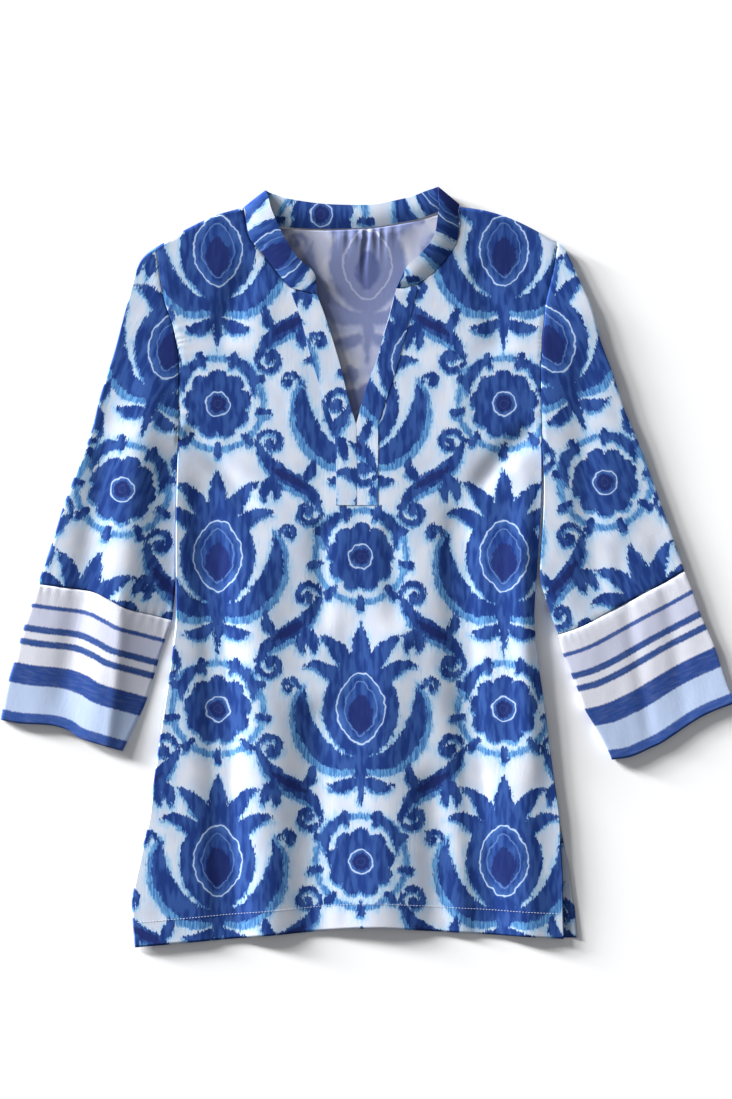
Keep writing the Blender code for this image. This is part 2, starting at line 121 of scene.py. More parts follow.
FRONT_RIGHT = {
    "neck": rows_of(
        Section,
        (210, 739, 133, 768, 107, 777),
        (207, 719, 134, 754, 107, 761),
        (203, 697, 132, 733, 105, 742),
        (198, 676, 121, 715, 96, 726),
        (196, 656, 106, 699, 81, 709),
        (194, 639, 88, 690, 64, 696),
    ),
    "slit": rows_of(
        Section,
        (194, 629, 63, 690, 41, 691),
        (193, 606, 55, 658, 33, 660),
        (193, 574, 44, 616, 20, 616),
        (194, 548, 33, 582, 8, 582),
        (194, 527, 22, 549, -1, 549),
    ),
    "body": rows_of(
        Section,
        (194, 527, 22, 549, -1, 549),
        (194, 490, 22, 505, 0, 505),
        (192, 448, 22, 461, 0, 461),
        (189, 396, 22, 404, 0, 404),
        (186, 349, 22, 352, 0, 352),
        (190, 301, 22, 310, 0, 310),
        (196, 259, 23, 269, 0, 270),
        (202, 212, 24, 217, 0, 217),
        (207, 175, 25, 184, 0, 184),
        (212, 142, 26, 151, 0, 151),
        (214, 109, 27, 121, 0, 121),
        (216, 70, 28, 80, 0, 80),
        (216, 43, 28, 59, 0, 60),
        (217, 9, 28, 20, 0, 20),
    ),
}
FRONT = {"left": FRONT_LEFT, "right": FRONT_RIGHT}
SHOULDER_BOW = {"left": 4.0, "right": 7.0}
FACING_END_UP = 461.0


print("sections down the left half:", sum(map(len, FRONT_LEFT.values())))

# %% [markdown]
# ## The back's measures
#
# The back follows the front's sides, one millimetre inside them. On the right, the slit in the
# side seam shows the back's edge. Its neck is shallow and lies behind the collar.

# %% The back
BACK_TUCK = 1.0
BACK_RIGHT_VENT = ((207, 175), (211, 142), (217, 109), (223, 83), (226, 60), (229, 37), (232, 10))
BACK_LEFT_VENT = ((-213, 169), (-216, 135), (-222, 104), (-230, 62), (-231, 41), (-228, 2))
BACK_NECK = ((-119, 775), (-100, 761), (-78, 754), (-34, 752), (14, 754), (40, 758), (66, 763), (107, 776))
BACK_SHOULDER = {"left": (-168, 757), "right": (155, 764)}
BACK_HEM = ((-228, 2), (-112, 12), (-29, 20), (28, 22), (120, 18), (216, 10), (232, 10))


print("the back's neck is", BACK_NECK[-1][0] - BACK_NECK[0][0], "mm wide")

# %% [markdown]
# ## The gathers' measures
#
# Small gathers ease the back into the collar. Each has a place across, a half width, a height,
# and a length down the back over which it fades.

# %% The gathers
Gather = namedtuple("Gather", "across half_width height length")
GATHERS = rows_of(
    Gather,
    (8, 46.0, 3.0, 86),
    (8.6, 3.0, -2.8, 82),
    (-11, 3.0, -1.7, 34),
    (-24, 3.2, -1.2, 28),
    (0.5, 2.4, -1.4, 26),
    (19, 2.6, -1.9, 46),
    (29, 3.0, -1.5, 52),
    (42, 3.4, -1.1, 30),
)


print("gathers:", len(GATHERS))

# %% [markdown]
# ## The folds' measures
#
# Broad soft folds, one row each: a line through three places, then the width each way and the
# height. A trough has a height below zero. Each fades over a share of its length at both ends.

# %% The folds
FOLD_FADE = 0.2
FOLD_LINE_POINTS = 13
Fold = namedtuple("Fold", "x_1 y_1 x_2 y_2 x_3 y_3 half_width height")
FRONT_FOLDS = rows_of(
    Fold,
    (-165, 522, -147, 322, -125, -160, 20, -2.8),
    (103, 501, 114, 280, 152, -160, 18, -2.6),
    (-37, 270, -45, 165, -51, -160, 22, -1.9),
    (77, 196, 83, 102, 86, -160, 18, -1.8),
    (-107, 448, -100, 259, -90, -160, 28, 2.0),
    (40, 380, 29, 207, 15, -160, 28, 1.8),
    (166, 469, 171, 259, 186, -160, 18, 1.6),
    (176, 530, 177, 340, 190, 150, 13, 1.7),
    (-186, 548, -149, 511, -100, 448, 12, -1.6),
    (192, 548, 155, 517, 119, 469, 12, -1.7),
    (-100, 719, -128, 679, -142, 627, 15, -1.2),
    (119, 719, 142, 669, 150, 616, 15, -1.2),
    (-34, 454, -38, 406, -36, 322, 13, -1.2),
    (34, 454, 38, 396, 41, 322, 13, -1.1),
)
SLEEVE_FOLDS = {
    "left": rows_of(
        Fold,
        (-172, 540, -166, 400, -216, 150, 44, -4.0),
        (-212, 640, -240, 430, -285, 120, 20, 1.8),
        (-246, 400, -250, 300, -266, 170, 7, 0.7),
        (-258, 600, -276, 450, -318, 200, 15, -1.2),
    ),
    "right": rows_of(
        Fold,
        (196, 720, 200, 470, 218, 100, 75, 2.4),
        (268, 440, 286, 338, 316, 180, 8, -0.5),
        (233, 660, 240, 480, 260, 330, 16, -0.9),
        (310, 440, 326, 360, 350, 200, 9, -0.4),
    ),
}


print("folds on the front:", len(FRONT_FOLDS))

# %% [markdown]
# ## The sleeves' measures
#
# Each sleeve and each cuff is drawn by four lines: an outer edge, an inner edge, and its two ends.
# The sleeve's upper end is the front's armhole, and its lower end is the cuff's seam.

# %% The sleeves
SLEEVE_OUTER = {
    "left": (
        (-211, 735), (-219, 729), (-227, 720), (-233, 706), (-239, 684), (-247, 653),
        (-256, 620), (-269, 580), (-280, 538), (-306, 469), (-319, 427), (-335, 381),
    ),
    "right": (
        (211, 738), (217, 733), (226, 716), (236, 693), (245, 673), (255, 637),
        (268, 602), (279, 567), (294, 532), (315, 475), (329, 435), (343, 395),
    ),
}
SLEEVE_INNER = {
    "left": ((-188, 526), (-189.3, 490), (-190.3, 448), (-190.4, 406), (-190.9, 375), (-194, 343)),
    "right": ((195, 526), (196, 490), (195, 448), (193, 417), (192, 388), (200, 358), (211, 328)),
}
CUFF_OUTER = {
    "left": ((-335, 381), (-342, 359), (-350, 335), (-360, 299), (-368, 272), (-374, 239)),
    "right": ((343, 395), (351, 375), (359, 352), (375, 315), (382, 293), (390, 270), (398, 257)),
}
CUFF_INNER = {
    "left": ((-194, 343), (-202, 321), (-209, 299), (-220, 262), (-228, 243), (-246, 206)),
    "right": ((211, 328), (216, 307), (231, 271), (238, 251), (250, 231), (264, 205), (267, 197)),
}
CUFF_SEAM = {
    "left": ((-335, 381), (-312, 378), (-278, 373), (-259, 364), (-243, 356), (-217, 349), (-194, 343)),
    "right": ((343, 395), (318, 380), (291, 366), (265, 352), (247, 342), (229, 334), (211, 328)),
}
CUFF_HEM = {
    "left": ((-374, 239), (-354, 235), (-322, 233), (-303, 228), (-291, 220), (-270, 213), (-246, 206)),
    "right": ((398, 257), (362, 242), (322, 216), (308, 209), (287, 200), (267, 197)),
}


print("places down the left sleeve:", len(SLEEVE_OUTER["left"]))

# %% [markdown]
# ## The collar's measures
#
# One row for each section of the collar, round from its left end: where its seam lies and where
# its free edge lies. At the sides of the neck it folds over, from the front down to the back.

# %% The collar
COLLAR_ON_FRONT_BELOW = 764.0
CollarSection = namedtuple("CollarSection", "seam_x seam_y seam_z edge_x edge_y edge_z")
COLLAR_SECTIONS = rows_of(
    CollarSection,
    (-48, 691.5, 5.6, -43, 697, 6.4),
    (-57, 694, 5.5, -44.5, 706, 7.6),
    (-68, 698, 5.4, -51, 714, 8.4),
    (-79.5, 707, 5.4, -61, 722, 9.2),
    (-90, 719, 5.4, -69, 733, 9.8),
    (-100, 733, 5.4, -77, 746, 10.2),
    (-109, 748, 5.6, -84, 761, 10.4),
    (-114, 763, 6.0, -90, 775, 10.2),
    (-116.5, 771.5, 5.8, -93, 788, 8.8),
    (-118, 776, 4.0, -95.5, 793.5, 6.0),
    (-115, 776, 1.6, -92, 792, 2.8),
    (-102, 764.5, 0.9, -81, 788, 1.9),
    (-79, 756.5, 0.8, -70, 785, 2.0),
    (-34, 754, 0.8, -34, 780, 2.4),
    (14, 756, 0.8, 12, 779, 2.6),
    (40, 760, 0.8, 37, 783, 2.4),
    (66, 765, 0.8, 58, 788, 2.0),
    (91, 775, 0.9, 71, 793, 1.9),
    (103, 779.5, 1.6, 80, 796, 2.8),
    (107, 779, 4.0, 85, 797, 6.0),
    (106, 773, 5.8, 85, 790, 8.6),
    (105.5, 761, 6.0, 86, 777, 10.0),
    (104.5, 748, 5.6, 84, 763, 10.4),
    (102, 738, 5.4, 82, 750, 10.2),
    (94, 726, 5.4, 76, 738, 9.6),
    (83, 712, 5.4, 65, 726, 9.0),
    (71, 702, 5.4, 55, 717, 8.4),
    (60, 699, 5.6, 50, 710, 7.4),
)


print("sections of the collar:", len(COLLAR_SECTIONS))

# %% [markdown]
# ## Smooth curves through a few measures
#
# A pattern is drawn with a few measured places and a curve ruler. A Catmull-Rom spline is such a
# ruler: it passes through every place it is given, and its slope changes softly. Blender's own
# curve objects could do this, but plain arrays are easier to lay out as rows of cloth.

# %% A curve ruler
CURVE_STEPS = 40


def spline(points, at):
    """Places on a smooth curve through the points. A whole number in at is the point itself."""
    points = np.array(points, float)
    ends = [2 * points[0] - points[1], *points, 2 * points[-1] - points[-2]]
    start = np.clip(np.floor(at).astype(int), 0, len(points) - 2)
    t = (at - start)[:, None]
    before, here, there, after = (np.array(ends)[start + k] for k in range(4))
    bend = 2 * before - 5 * here + 4 * there - after
    twist = 3 * here - before - 3 * there + after
    return here + 0.5 * t * (there - before + t * (bend + t * twist))


def fine_curve(points):
    return spline(points, np.linspace(0, len(points) - 1, CURVE_STEPS * len(points)))


def spread(points, counts):
    """The curve through the points, with the given number of steps between each two."""
    at = [k + np.arange(n) / n for k, n in enumerate(counts)] + [[len(points) - 1]]
    return spline(points, np.concatenate(at))


def even(points, shares):
    """The curve through the points, read at shares of its length."""
    fine = fine_curve(points)
    length = np.concatenate([[0], np.cumsum(np.linalg.norm(np.diff(fine, axis=0), axis=1))])
    return np.stack([np.interp(shares * length[-1], length, fine[:, k]) for k in range(2)], axis=1)


def step_counts(points, step):
    lengths = np.linalg.norm(np.diff(np.array(points, float)[:, :2], axis=0), axis=1)
    return [max(1, round(length / step)) for length in lengths]


def smooth(share):
    """A soft step from 0 to 1."""
    share = np.clip(share, 0, 1)
    return share * share * (3 - 2 * share)


print("a ruler with", CURVE_STEPS, "steps between two places")

# %% [markdown]
# ## Soft folds
#
# Thin cloth that lies flat keeps broad, soft folds where it hung or was pressed. Each fold is a
# line through three places with a width and a height, so that each can be put where it lies. A
# bell curve across the line gives a round ridge, or a trough where the height is below zero.
# Blender could also simulate the cloth, but it would put the folds where it likes.

# %% Ridges and troughs
def distance_to(x, y, line):
    """How far each place is from a line of points, and how far along it, from 0 to 1."""
    best = np.full(np.shape(x), np.inf)
    along = np.zeros(np.shape(x))
    for k, (a, b) in enumerate(zip(line[:-1], line[1:])):
        way = b - a
        share = np.clip(((x - a[0]) * way[0] + (y - a[1]) * way[1]) / (way @ way), 0, 1)
        far = np.hypot(x - a[0] - share * way[0], y - a[1] - share * way[1])
        along = np.where(far < best, (k + share) / (len(line) - 1), along)
        best = np.minimum(best, far)
    return best, along


def fold_heights(x, y, folds):
    """The height that soft folds add at each place."""
    total = np.zeros(np.shape(x))
    for fold in folds:
        places = ((fold.x_1, fold.y_1), (fold.x_2, fold.y_2), (fold.x_3, fold.y_3))
        line = spline(places, np.linspace(0, 2, FOLD_LINE_POINTS))
        far, along = distance_to(x, y, line)
        fade = smooth(np.minimum(along, 1 - along) / FOLD_FADE)
        total += fold.height * fade * np.exp(-((far / fold.half_width) ** 2))
    return total

print(len(FRONT_FOLDS), "folds on the front,", sum(map(len, SLEEVE_FOLDS.values())), "on the sleeves")

# %% [markdown]
# ## Fine waves and puckers
#
# Between its folds, real cloth is never quite flat. It has faint waves a few centimetres long,
# and a row of small puckers beside each seam, because the thread pulls the cloth in a little. The
# waves come from a grid of seeded random heights, read smoothly between its places.

# %% Waves of the cloth
def soft_noise(x, y, wide, tall, seed):
    """Smooth random values from -1 to 1, with bumps of the given width and height in mm."""
    grid = np.random.default_rng(seed).uniform(-1, 1, (64, 64))
    column, row = np.floor(x / wide).astype(int), np.floor(y / tall).astype(int)
    across, up = smooth(x / wide - column), smooth(y / tall - row)
    low = grid[row % 64, column % 64] * (1 - across) + grid[row % 64, (column + 1) % 64] * across
    row = row + 1
    high = grid[row % 64, column % 64] * (1 - across) + grid[row % 64, (column + 1) % 64] * across
    return low * (1 - up) + high * up


BROAD_WAVE, SMALL_WAVE = 0.44, 0.12


def cloth_waves(x, y, seed):
    """Faint uneven waves, longer down the cloth than across it."""
    broad = soft_noise(x, y, 34, 95, seed)
    small = soft_noise(x, y, 13, 30, seed + 1)
    return BROAD_WAVE * broad + SMALL_WAVE * small


def puckers(far, along, reach=14.0, height=0.2, wave=10.0):
    """Ripples beside a seam. far is the distance from it and along the place on it, in mm."""
    return height * np.sin(2 * np.pi * along / wave + 1.3 * np.sin(along / 23)) * np.exp(-far / reach * 2)


print("waves of", BROAD_WAVE + SMALL_WAVE, "mm at most")

# %% [markdown]
# ## A shell of cloth
#
# Every piece is a grid of places with a short way to the next one, turned into a mesh. Blender's
# Solidify modifier gives it the thickness of cloth and its other face. Each point also keeps
# where it lay on the flat cloth before sewing, because the print and the weave follow the cloth.

# %% From a grid to a shell
THICKNESS = 0.6
STEP = 2.6


def squares(index):
    """Four-sided faces between neighbours of a grid of point numbers."""
    corners = np.stack([index[:-1, :-1], index[1:, :-1], index[1:, 1:], index[:-1, 1:]], axis=-1)
    return corners.reshape(-1, 4)


def numbers(grid):
    return np.arange(grid[..., 0].size).reshape(grid.shape[:2])


def mark_rim(mesh):
    """Marks the open edges as sharp, so that the flat face isn't shaded as if it turned down there."""
    used = np.zeros(len(mesh.edges), int)
    for face in mesh.polygons:
        for loop in face.loop_indices:
            used[mesh.loops[loop].edge_index] += 1
    sharp = mesh.attributes.new("sharp_edge", "BOOLEAN", "EDGE")
    sharp.data.foreach_set("value", used == 1)


CRISP_FOLD = 40


def shell(name, places, cloth, faces, looks, thickness=THICKNESS, offset=-1.0, crisp=True):
    """One piece of cloth. places are where its points lie, and cloth where they lay when flat."""
    used, faces = np.unique(faces, return_inverse=True)
    mesh = bpy.data.meshes.new(name)
    mesh.from_pydata(in_scene(places.reshape(-1, 3)[used]).tolist(), [], faces.reshape(-1, 4).tolist())
    for look in looks:
        mesh.materials.append(look)
    mesh.shade_smooth()
    if crisp:
        mesh.set_sharp_from_angle(angle=np.radians(CRISP_FOLD))
    mark_rim(mesh)
    for key, values in cloth.items():
        layer = mesh.attributes.new(key, "FLOAT", "POINT")
        layer.data.foreach_set("value", np.ascontiguousarray(values.ravel()[used], np.float32))
    piece = bpy.data.objects.new(name, mesh)
    bpy.context.scene.collection.objects.link(piece)
    wall = piece.modifiers.new("thickness of the cloth", "SOLIDIFY")
    wall.thickness = thickness * MM
    wall.offset = offset
    wall.material_offset = len(looks) - 1
    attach(piece, "root")
    print(f"{name}: {len(mesh.vertices)} points, {len(mesh.polygons)} squares")
    return piece

# %% [markdown]
# ## Painting the print
#
# The cloth is printed in the manner of a warp-dyed weave: cobalt flowers and leaves on a pale
# ground, with edges that feather along the threads. A repeat of 300 by 320 mm is painted here on
# a sheet of cells one millimetre wide. Each cell holds its distance to the nearest stroke, not a
# colour, so the material can draw crisp, soft or feathered edges from the same numbers. The
# motifs are of our own making: a fruit, a round flower, a leafy stem and curled feathers.

# %% A brush that paints distances
REPEAT_ACROSS, REPEAT_UP = 300, 320
BLANK = 30.0
up_mm, across_mm = np.mgrid[-REPEAT_UP:REPEAT_UP, -REPEAT_ACROSS:REPEAT_ACROSS] + 0.5
paint = {colour: np.full(up_mm.shape, BLANK) for colour in ("cobalt", "blue", "navy")}
BRUSH_REACH = 16


def dab(colour, x_1, y_1, r_1, x_2, y_2, r_2):
    """One straight dab of a round brush that widens or narrows on its way."""
    reach = max(r_1, r_2) + BRUSH_REACH
    left = int(min(x_1, x_2) - reach) + REPEAT_ACROSS
    right = int(max(x_1, x_2) + reach) + REPEAT_ACROSS
    low = int(min(y_1, y_2) - reach) + REPEAT_UP
    high = int(max(y_1, y_2) + reach) + REPEAT_UP
    here = np.s_[max(low, 0) : high, max(left, 0) : right]
    x, y, sheet = across_mm[here], up_mm[here], paint[colour][here]
    along_x, along_y = x_2 - x_1, y_2 - y_1
    length = max(along_x**2 + along_y**2, 1e-6)
    share = np.clip(((x - x_1) * along_x + (y - y_1) * along_y) / length, 0, 1)
    far = np.hypot(x - x_1 - share * along_x, y - y_1 - share * along_y)
    np.minimum(sheet, far - (r_1 + share * (r_2 - r_1)), out=sheet)


def dabs(colour, places, twin):
    for side in (1, -1) if twin else (1,):
        for (x_1, y_1, r_1), (x_2, y_2, r_2) in zip(places[:-1], places[1:]):
            dab(colour, side * x_1, y_1, r_1, side * x_2, y_2, r_2)


def stroke(colour, *places, twin=True):
    """A curved stroke through places (x, y, half width), and its mirror twin."""
    dabs(colour, spline(places, np.linspace(0, len(places) - 1, 6 * len(places))), twin)


print("a sheet of", up_mm.shape, "cells")

# %% [markdown]
# ## Leaves, tendrils and rings
#
# A few shapes come back in every motif, so each gets a short function of its own: a pointed leaf
# that bends, a tendril that winds in, and a ring. All of them are strokes of the same brush.

# %% Shapes for the motifs
def leaf(colour, x, y, way, long, wide, bend=0.0):
    """A pointed leaf from its stalk. way is its angle in degrees, and bend how far it turns."""
    angle = np.radians(way + bend * np.linspace(-0.2, 1, 5))
    steps = long / 4 * np.column_stack([np.cos(angle), np.sin(angle)])
    spine = np.array([x, y]) + np.vstack([np.zeros(2), np.cumsum(steps[:-1], axis=0)])
    half = wide / 2 * np.array([0.35, 0.95, 1.0, 0.62, 0.05])
    stroke(colour, *np.column_stack([spine, half]))


def curl(colour, x, y, size, start, turns, thick, hand=1):
    """A tendril that winds in to a dot at x, y."""
    share = np.linspace(0, 1, int(10 * turns) + 4)
    angle = np.radians(start) + hand * 2 * np.pi * turns * share
    radius = size * (1 - share) ** 0.8 + 0.8
    half = thick / 2 * (0.45 + 0.55 * np.sin(np.pi * (share * 0.9 + 0.1)))
    dabs(colour, np.column_stack([x + radius * np.cos(angle), y + radius * np.sin(angle), half]), True)
    stroke(colour, (x, y, thick * 0.62), (x, y + 0.1, thick * 0.62))


def ring(colour, x, y, radius_x, radius_y, thick):
    angle = np.radians(np.linspace(0, 360, 49))
    half = np.full(angle.shape, thick / 2)
    dabs(colour, np.column_stack([x + radius_x * np.cos(angle), y + radius_y * np.sin(angle), half]), False)


# %% [markdown]
# ## The motifs
#
# Each motif is a table of strokes: x and y in millimetres from the fruit's middle, then half the
# stroke's width. The fruit stands on the axis, and the strokes beside it have a mirror twin. The
# garland swings from the round flower above one cell to the flower beside it.

# %% The fruit
def paint_fruit():
    stroke("cobalt", (0, -24, 27), (0, 0, 40), (0, 22, 30), twin=False)
    stroke("cobalt", (0, 42, 10), (0, 62, 10), (0, 78, 6), (0, 92, 0.5), twin=False)
    stroke("cobalt", (9, 40, 9), (21, 58, 8.5), (32, 71, 5), (44, 78, 0.5))
    stroke("cobalt", (18, 28, 9), (36, 42, 7.5), (50, 47, 4), (60, 45, 0.5))
    stroke("navy", (0, -20, 6), (0, -6, 13), (0, 8, 7), twin=False)
    stroke("blue", (3, -60, 8), (32, -56, 14), (56, -30, 15), (64, 2, 10), (60, 26, 2))
    stroke("cobalt", (4, -57, 6), (32, -51, 10), (54, -26, 11), (62, 2, 7), (58, 24, 0.5))
    stroke("cobalt", (0, -54, 9), (0, -68, 6), (0, -84, 4), (0, -104, 0.8), twin=False)
    leaf("cobalt", 5, -72, -28, 34, 13, 62)
    curl("cobalt", 74, 24, 9, 190, 1.0, 6.0, -1)


# %% The round flower
def paint_flower():
    for k in range(9):
        way = np.radians(40 * k + 10)
        x, y = np.cos(way), np.sin(way)
        stroke("cobalt", (12 * x, 160 + 12 * y, 12), (25 * x, 160 + 25 * y, 11), twin=False)
    dab("cobalt", 0, 160, 27.0, 0, 160, 27.0)
    dab("navy", 0, 160, 9.0, 0, 160, 9.0)
    ring("blue", 0, 160, 48, 48, 7)
    for k in range(9):
        way = np.radians(40 * k + 30)
        x, y = np.cos(way), np.sin(way)
        stroke("cobalt", (43 * x, 160 + 43 * y, 3.5), (53 * x, 160 + 53 * y, 4.5), twin=False)


# %% The scrolls
def paint_scrolls():
    stroke("blue", (107, -47, 3), (99, -62, 7), (84, -77, 10), (66, -87, 10), (51, -99, 7), (43, -114, 3))
    stroke("cobalt", (107, -44, 3), (98, -59, 6), (83, -73, 8), (66, -83, 8), (51, -95, 6), (42, -111, 3))
    curl("cobalt", 94, -40, 14, -20, 1.2, 7.0, 1)
    curl("cobalt", 55, -113, 14, 160, 1.2, 7.0, 1)
    leaf("cobalt", 90, -77, -52, 30, 12, -60)
    leaf("cobalt", 60, -80, 126, 28, 11, -60)
    stroke("navy", (92, -67, 1.5), (82, -74, 4.2), (68, -81, 4.2), (58, -88, 1.5))


# %% The leaves below each fruit
def paint_leaves():
    stroke("blue", (14, -112, 2), (30, -123, 7), (39, -137, 7), (38, -152, 2))
    stroke("cobalt", (12, -112, 2), (28, -121, 5), (37, -135, 5), (37, -150, 1))
    leaf("cobalt", 60, 60, 84, 26, 10, 50)


# %% [markdown]
# ## From the sheet to the cloth
#
# The sheet is folded on itself into one repeat, and the half-drop is added: the same motifs again,
# half a repeat across and half a repeat up, as printers lay them so that no stripe shows. Then
# any place on the cloth reads its distances from the repeat, softly between the cells.

# %% One repeat
def one_repeat(sheet):
    """The whole sheet folded into one repeat, with its half-drop neighbour."""
    tall, wide = REPEAT_UP, REPEAT_ACROSS
    quarters = [sheet[:tall, :wide], sheet[tall:, :wide], sheet[:tall, wide:], sheet[tall:, wide:]]
    folded = np.minimum.reduce(quarters)
    return np.minimum(folded, np.roll(folded, (tall // 2, wide // 2), axis=(0, 1)))


for paint_motif in (paint_fruit, paint_flower, paint_scrolls, paint_leaves):
    paint_motif()
repeat = {colour: one_repeat(sheet) for colour, sheet in paint.items()}
print("cobalt covers", round(float((repeat["cobalt"] < 0).mean()), 2), "of the ground")


def read_repeat(colour, across, up):
    """The distance to the nearest stroke of a colour, for places on the flat cloth in mm."""
    sheet = repeat[colour]
    tall, wide = sheet.shape
    column, row = np.floor(across - 0.5).astype(int), np.floor(up - 0.5).astype(int)
    right, above = across - 0.5 - column, up - 0.5 - row
    low = sheet[row % tall, column % wide] * (1 - right) + sheet[row % tall, (column + 1) % wide] * right
    row = row + 1
    high = sheet[row % tall, column % wide] * (1 - right) + sheet[row % tall, (column + 1) % wide] * right
    return low * (1 - above) + high * above


PRINT_AXIS, PRINT_UP = 4.0, 250.0
BLUE_SHIFT = (0.6, 3.2)


def flat_cloth(across, up, shift=(0.0, 0.0)):
    """What each point keeps of the flat cloth: where it lay, and its distances in the print."""
    x, y = across - PRINT_AXIS + shift[0], up - PRINT_UP + shift[1]
    kept = {colour: read_repeat(colour, x, y) for colour in repeat}
    kept["blue"] = np.minimum(kept["blue"], read_repeat("cobalt", x + BLUE_SHIFT[0], y + BLUE_SHIFT[1]))
    return {"cloth_across": x, "cloth_up": y, **kept}

# %% [markdown]
# ## Colours and nodes
#
# A colour picked from a swatch is an sRGB hex value. Blender mixes light in linear values, so one
# function turns the one into the other. A second small function adds a node to a material, with
# its settings and with what flows into it, so that a material reads as a list of steps. The view
# is set to Standard, so that a colour comes out of the picture as it went in.

# %% Helpers for materials
bpy.context.scene.view_settings.view_transform = "Standard"


def linear(colour):
    """An sRGB hex value as linear red, green, blue and a full alpha."""
    parts = [int(colour[k : k + 2], 16) / 255 for k in (1, 3, 5)]
    return (*[c / 12.92 if c <= 0.04045 else ((c + 0.055) / 1.055) ** 2.4 for c in parts], 1.0)


def add(tree, kind, inputs=None, **settings):
    """One new node with its settings. inputs gives each socket a value or another socket."""
    node = tree.nodes.new(kind)
    for name, value in settings.items():
        setattr(node, name, value)
    for key, value in (inputs or {}).items():
        if isinstance(value, bpy.types.NodeSocket):
            tree.links.new(value, node.inputs[key])
        else:
            node.inputs[key].default_value = value
    return node


def new_material(name):
    material = bpy.data.materials.new(name)
    material.use_nodes = True
    return material, material.node_tree


print("cobalt dye is", [round(c, 3) for c in linear("#27458f")[:3]])

# %% [markdown]
# ## One pass of dye
#
# A printer lays one dye over another, and each pass covers a part of what lies below. The same
# step makes every pattern here. It reads a distance in millimetres, turns it into a share of
# cover between two distances, and mixes the dye over the colour so far. Random values added to
# the distance make its edge fray along the threads, as dye does when it wicks.

# %% Uneven distances, and dye by distance
def cloth_places(tree):
    """Where each place lies on the flat cloth, in mm."""
    across = add(tree, "ShaderNodeAttribute", attribute_name="cloth_across").outputs["Fac"]
    up = add(tree, "ShaderNodeAttribute", attribute_name="cloth_up").outputs["Fac"]
    return add(tree, "ShaderNodeCombineXYZ", {0: across, 1: up}).outputs[0]


def speckle(tree, places, wide, tall, most, seed):
    """Random values from -most to most, with bumps of the given size in mm."""
    size = {0: places, 1: (1 / wide, 1 / tall, 1), 2: (seed, seed, 0)}
    places = add(tree, "ShaderNodeVectorMath", size, operation="MULTIPLY_ADD").outputs[0]
    detail = {"Vector": places, "Scale": 1.0, "Detail": 1.5}
    noise = add(tree, "ShaderNodeTexNoise", detail, noise_dimensions="2D").outputs[0]
    return add(tree, "ShaderNodeMath", {0: noise, 1: 2 * most, 2: -most}, operation="MULTIPLY_ADD").outputs[0]


def painted(tree, sheet, frays=()):
    """The distance to the strokes of one sheet, made uneven by some random values."""
    distance = add(tree, "ShaderNodeAttribute", attribute_name=sheet).outputs["Fac"]
    for fray in frays:
        distance = add(tree, "ShaderNodeMath", {0: distance, 1: fray}, operation="ADD").outputs[0]
    return distance


def beside_line(tree, distance, depth):
    """The distance to a line that follows the strokes' edges at a depth inside them."""
    offset = add(tree, "ShaderNodeMath", {0: distance, 1: depth}, operation="ADD").outputs[0]
    return add(tree, "ShaderNodeMath", {0: offset}, operation="ABSOLUTE").outputs[0]


def dye(tree, under, ink, distance, begins, full, strength=1.0):
    """Ink over a colour: none where the distance is at begins, and its full strength at full."""
    reach = {"Value": distance, "From Min": begins, "From Max": full, "To Max": strength}
    cover = add(tree, "ShaderNodeMapRange", reach, interpolation_type="SMOOTHSTEP").outputs[0]
    return add(tree, "ShaderNodeMix", {0: cover, 6: under, 7: ink}, data_type="RGBA").outputs[2]


print("dye begins where a distance says so, and frays by a few mm")

# %% [markdown]
# ## The surface of crepe
#
# Crepe is woven from hard-twisted threads, so it is matt, with a fine pebbled grain and next to
# no gloss. Its threads are 0.3 mm apart, too fine to show in this picture, so the weave is drawn
# 1.2 mm apart. A little slub, a thicker stretch of thread here and there, breaks it up. Both are
# bump in the material: real threads would take millions of faces.

# %% Threads and slub
THREAD_MM = 1.2
GRAIN_MM = 0.05
SLUB_WIDE, SLUB_TALL, SLUB_SHARE, SLUB_SEED = 2.5, 9.0, 0.8, 31
CREPE = {"Roughness": 0.84, "IOR": 1.46, "Specular IOR Level": 0.04, "Sheen Weight": 0.015, "Sheen Roughness": 0.5}


def weave_height(tree, places):
    """Warp and weft threads as two crossing waves."""
    per_thread = {0: places, "Scale": 2 * np.pi / THREAD_MM}
    turned = add(tree, "ShaderNodeVectorMath", per_thread, operation="SCALE").outputs[0]
    axes = add(tree, "ShaderNodeSeparateXYZ", {0: turned}).outputs
    warp = add(tree, "ShaderNodeMath", {0: axes[0]}, operation="SINE").outputs[0]
    weft = add(tree, "ShaderNodeMath", {0: axes[1]}, operation="SINE").outputs[0]
    return add(tree, "ShaderNodeMath", {0: warp, 1: weft}, operation="MULTIPLY").outputs[0]


def crepe_surface(tree, colour, places):
    """The shader of the cloth: its colour, its matt finish and the bump of its threads."""
    shader = tree.nodes["Principled BSDF"]
    for name, value in CREPE.items():
        shader.inputs[name].default_value = value
    tree.links.new(colour, shader.inputs["Base Color"])
    slub = speckle(tree, places, SLUB_WIDE, SLUB_TALL, SLUB_SHARE, SLUB_SEED)
    height = add(tree, "ShaderNodeMath", {0: weave_height(tree, places), 1: slub}, operation="ADD").outputs[0]
    bump = add(tree, "ShaderNodeBump", {"Height": height, "Strength": 1.0, "Distance": GRAIN_MM * MM})
    tree.links.new(bump.outputs[0], shader.inputs["Normal"])


print("threads drawn", THREAD_MM, "mm apart")

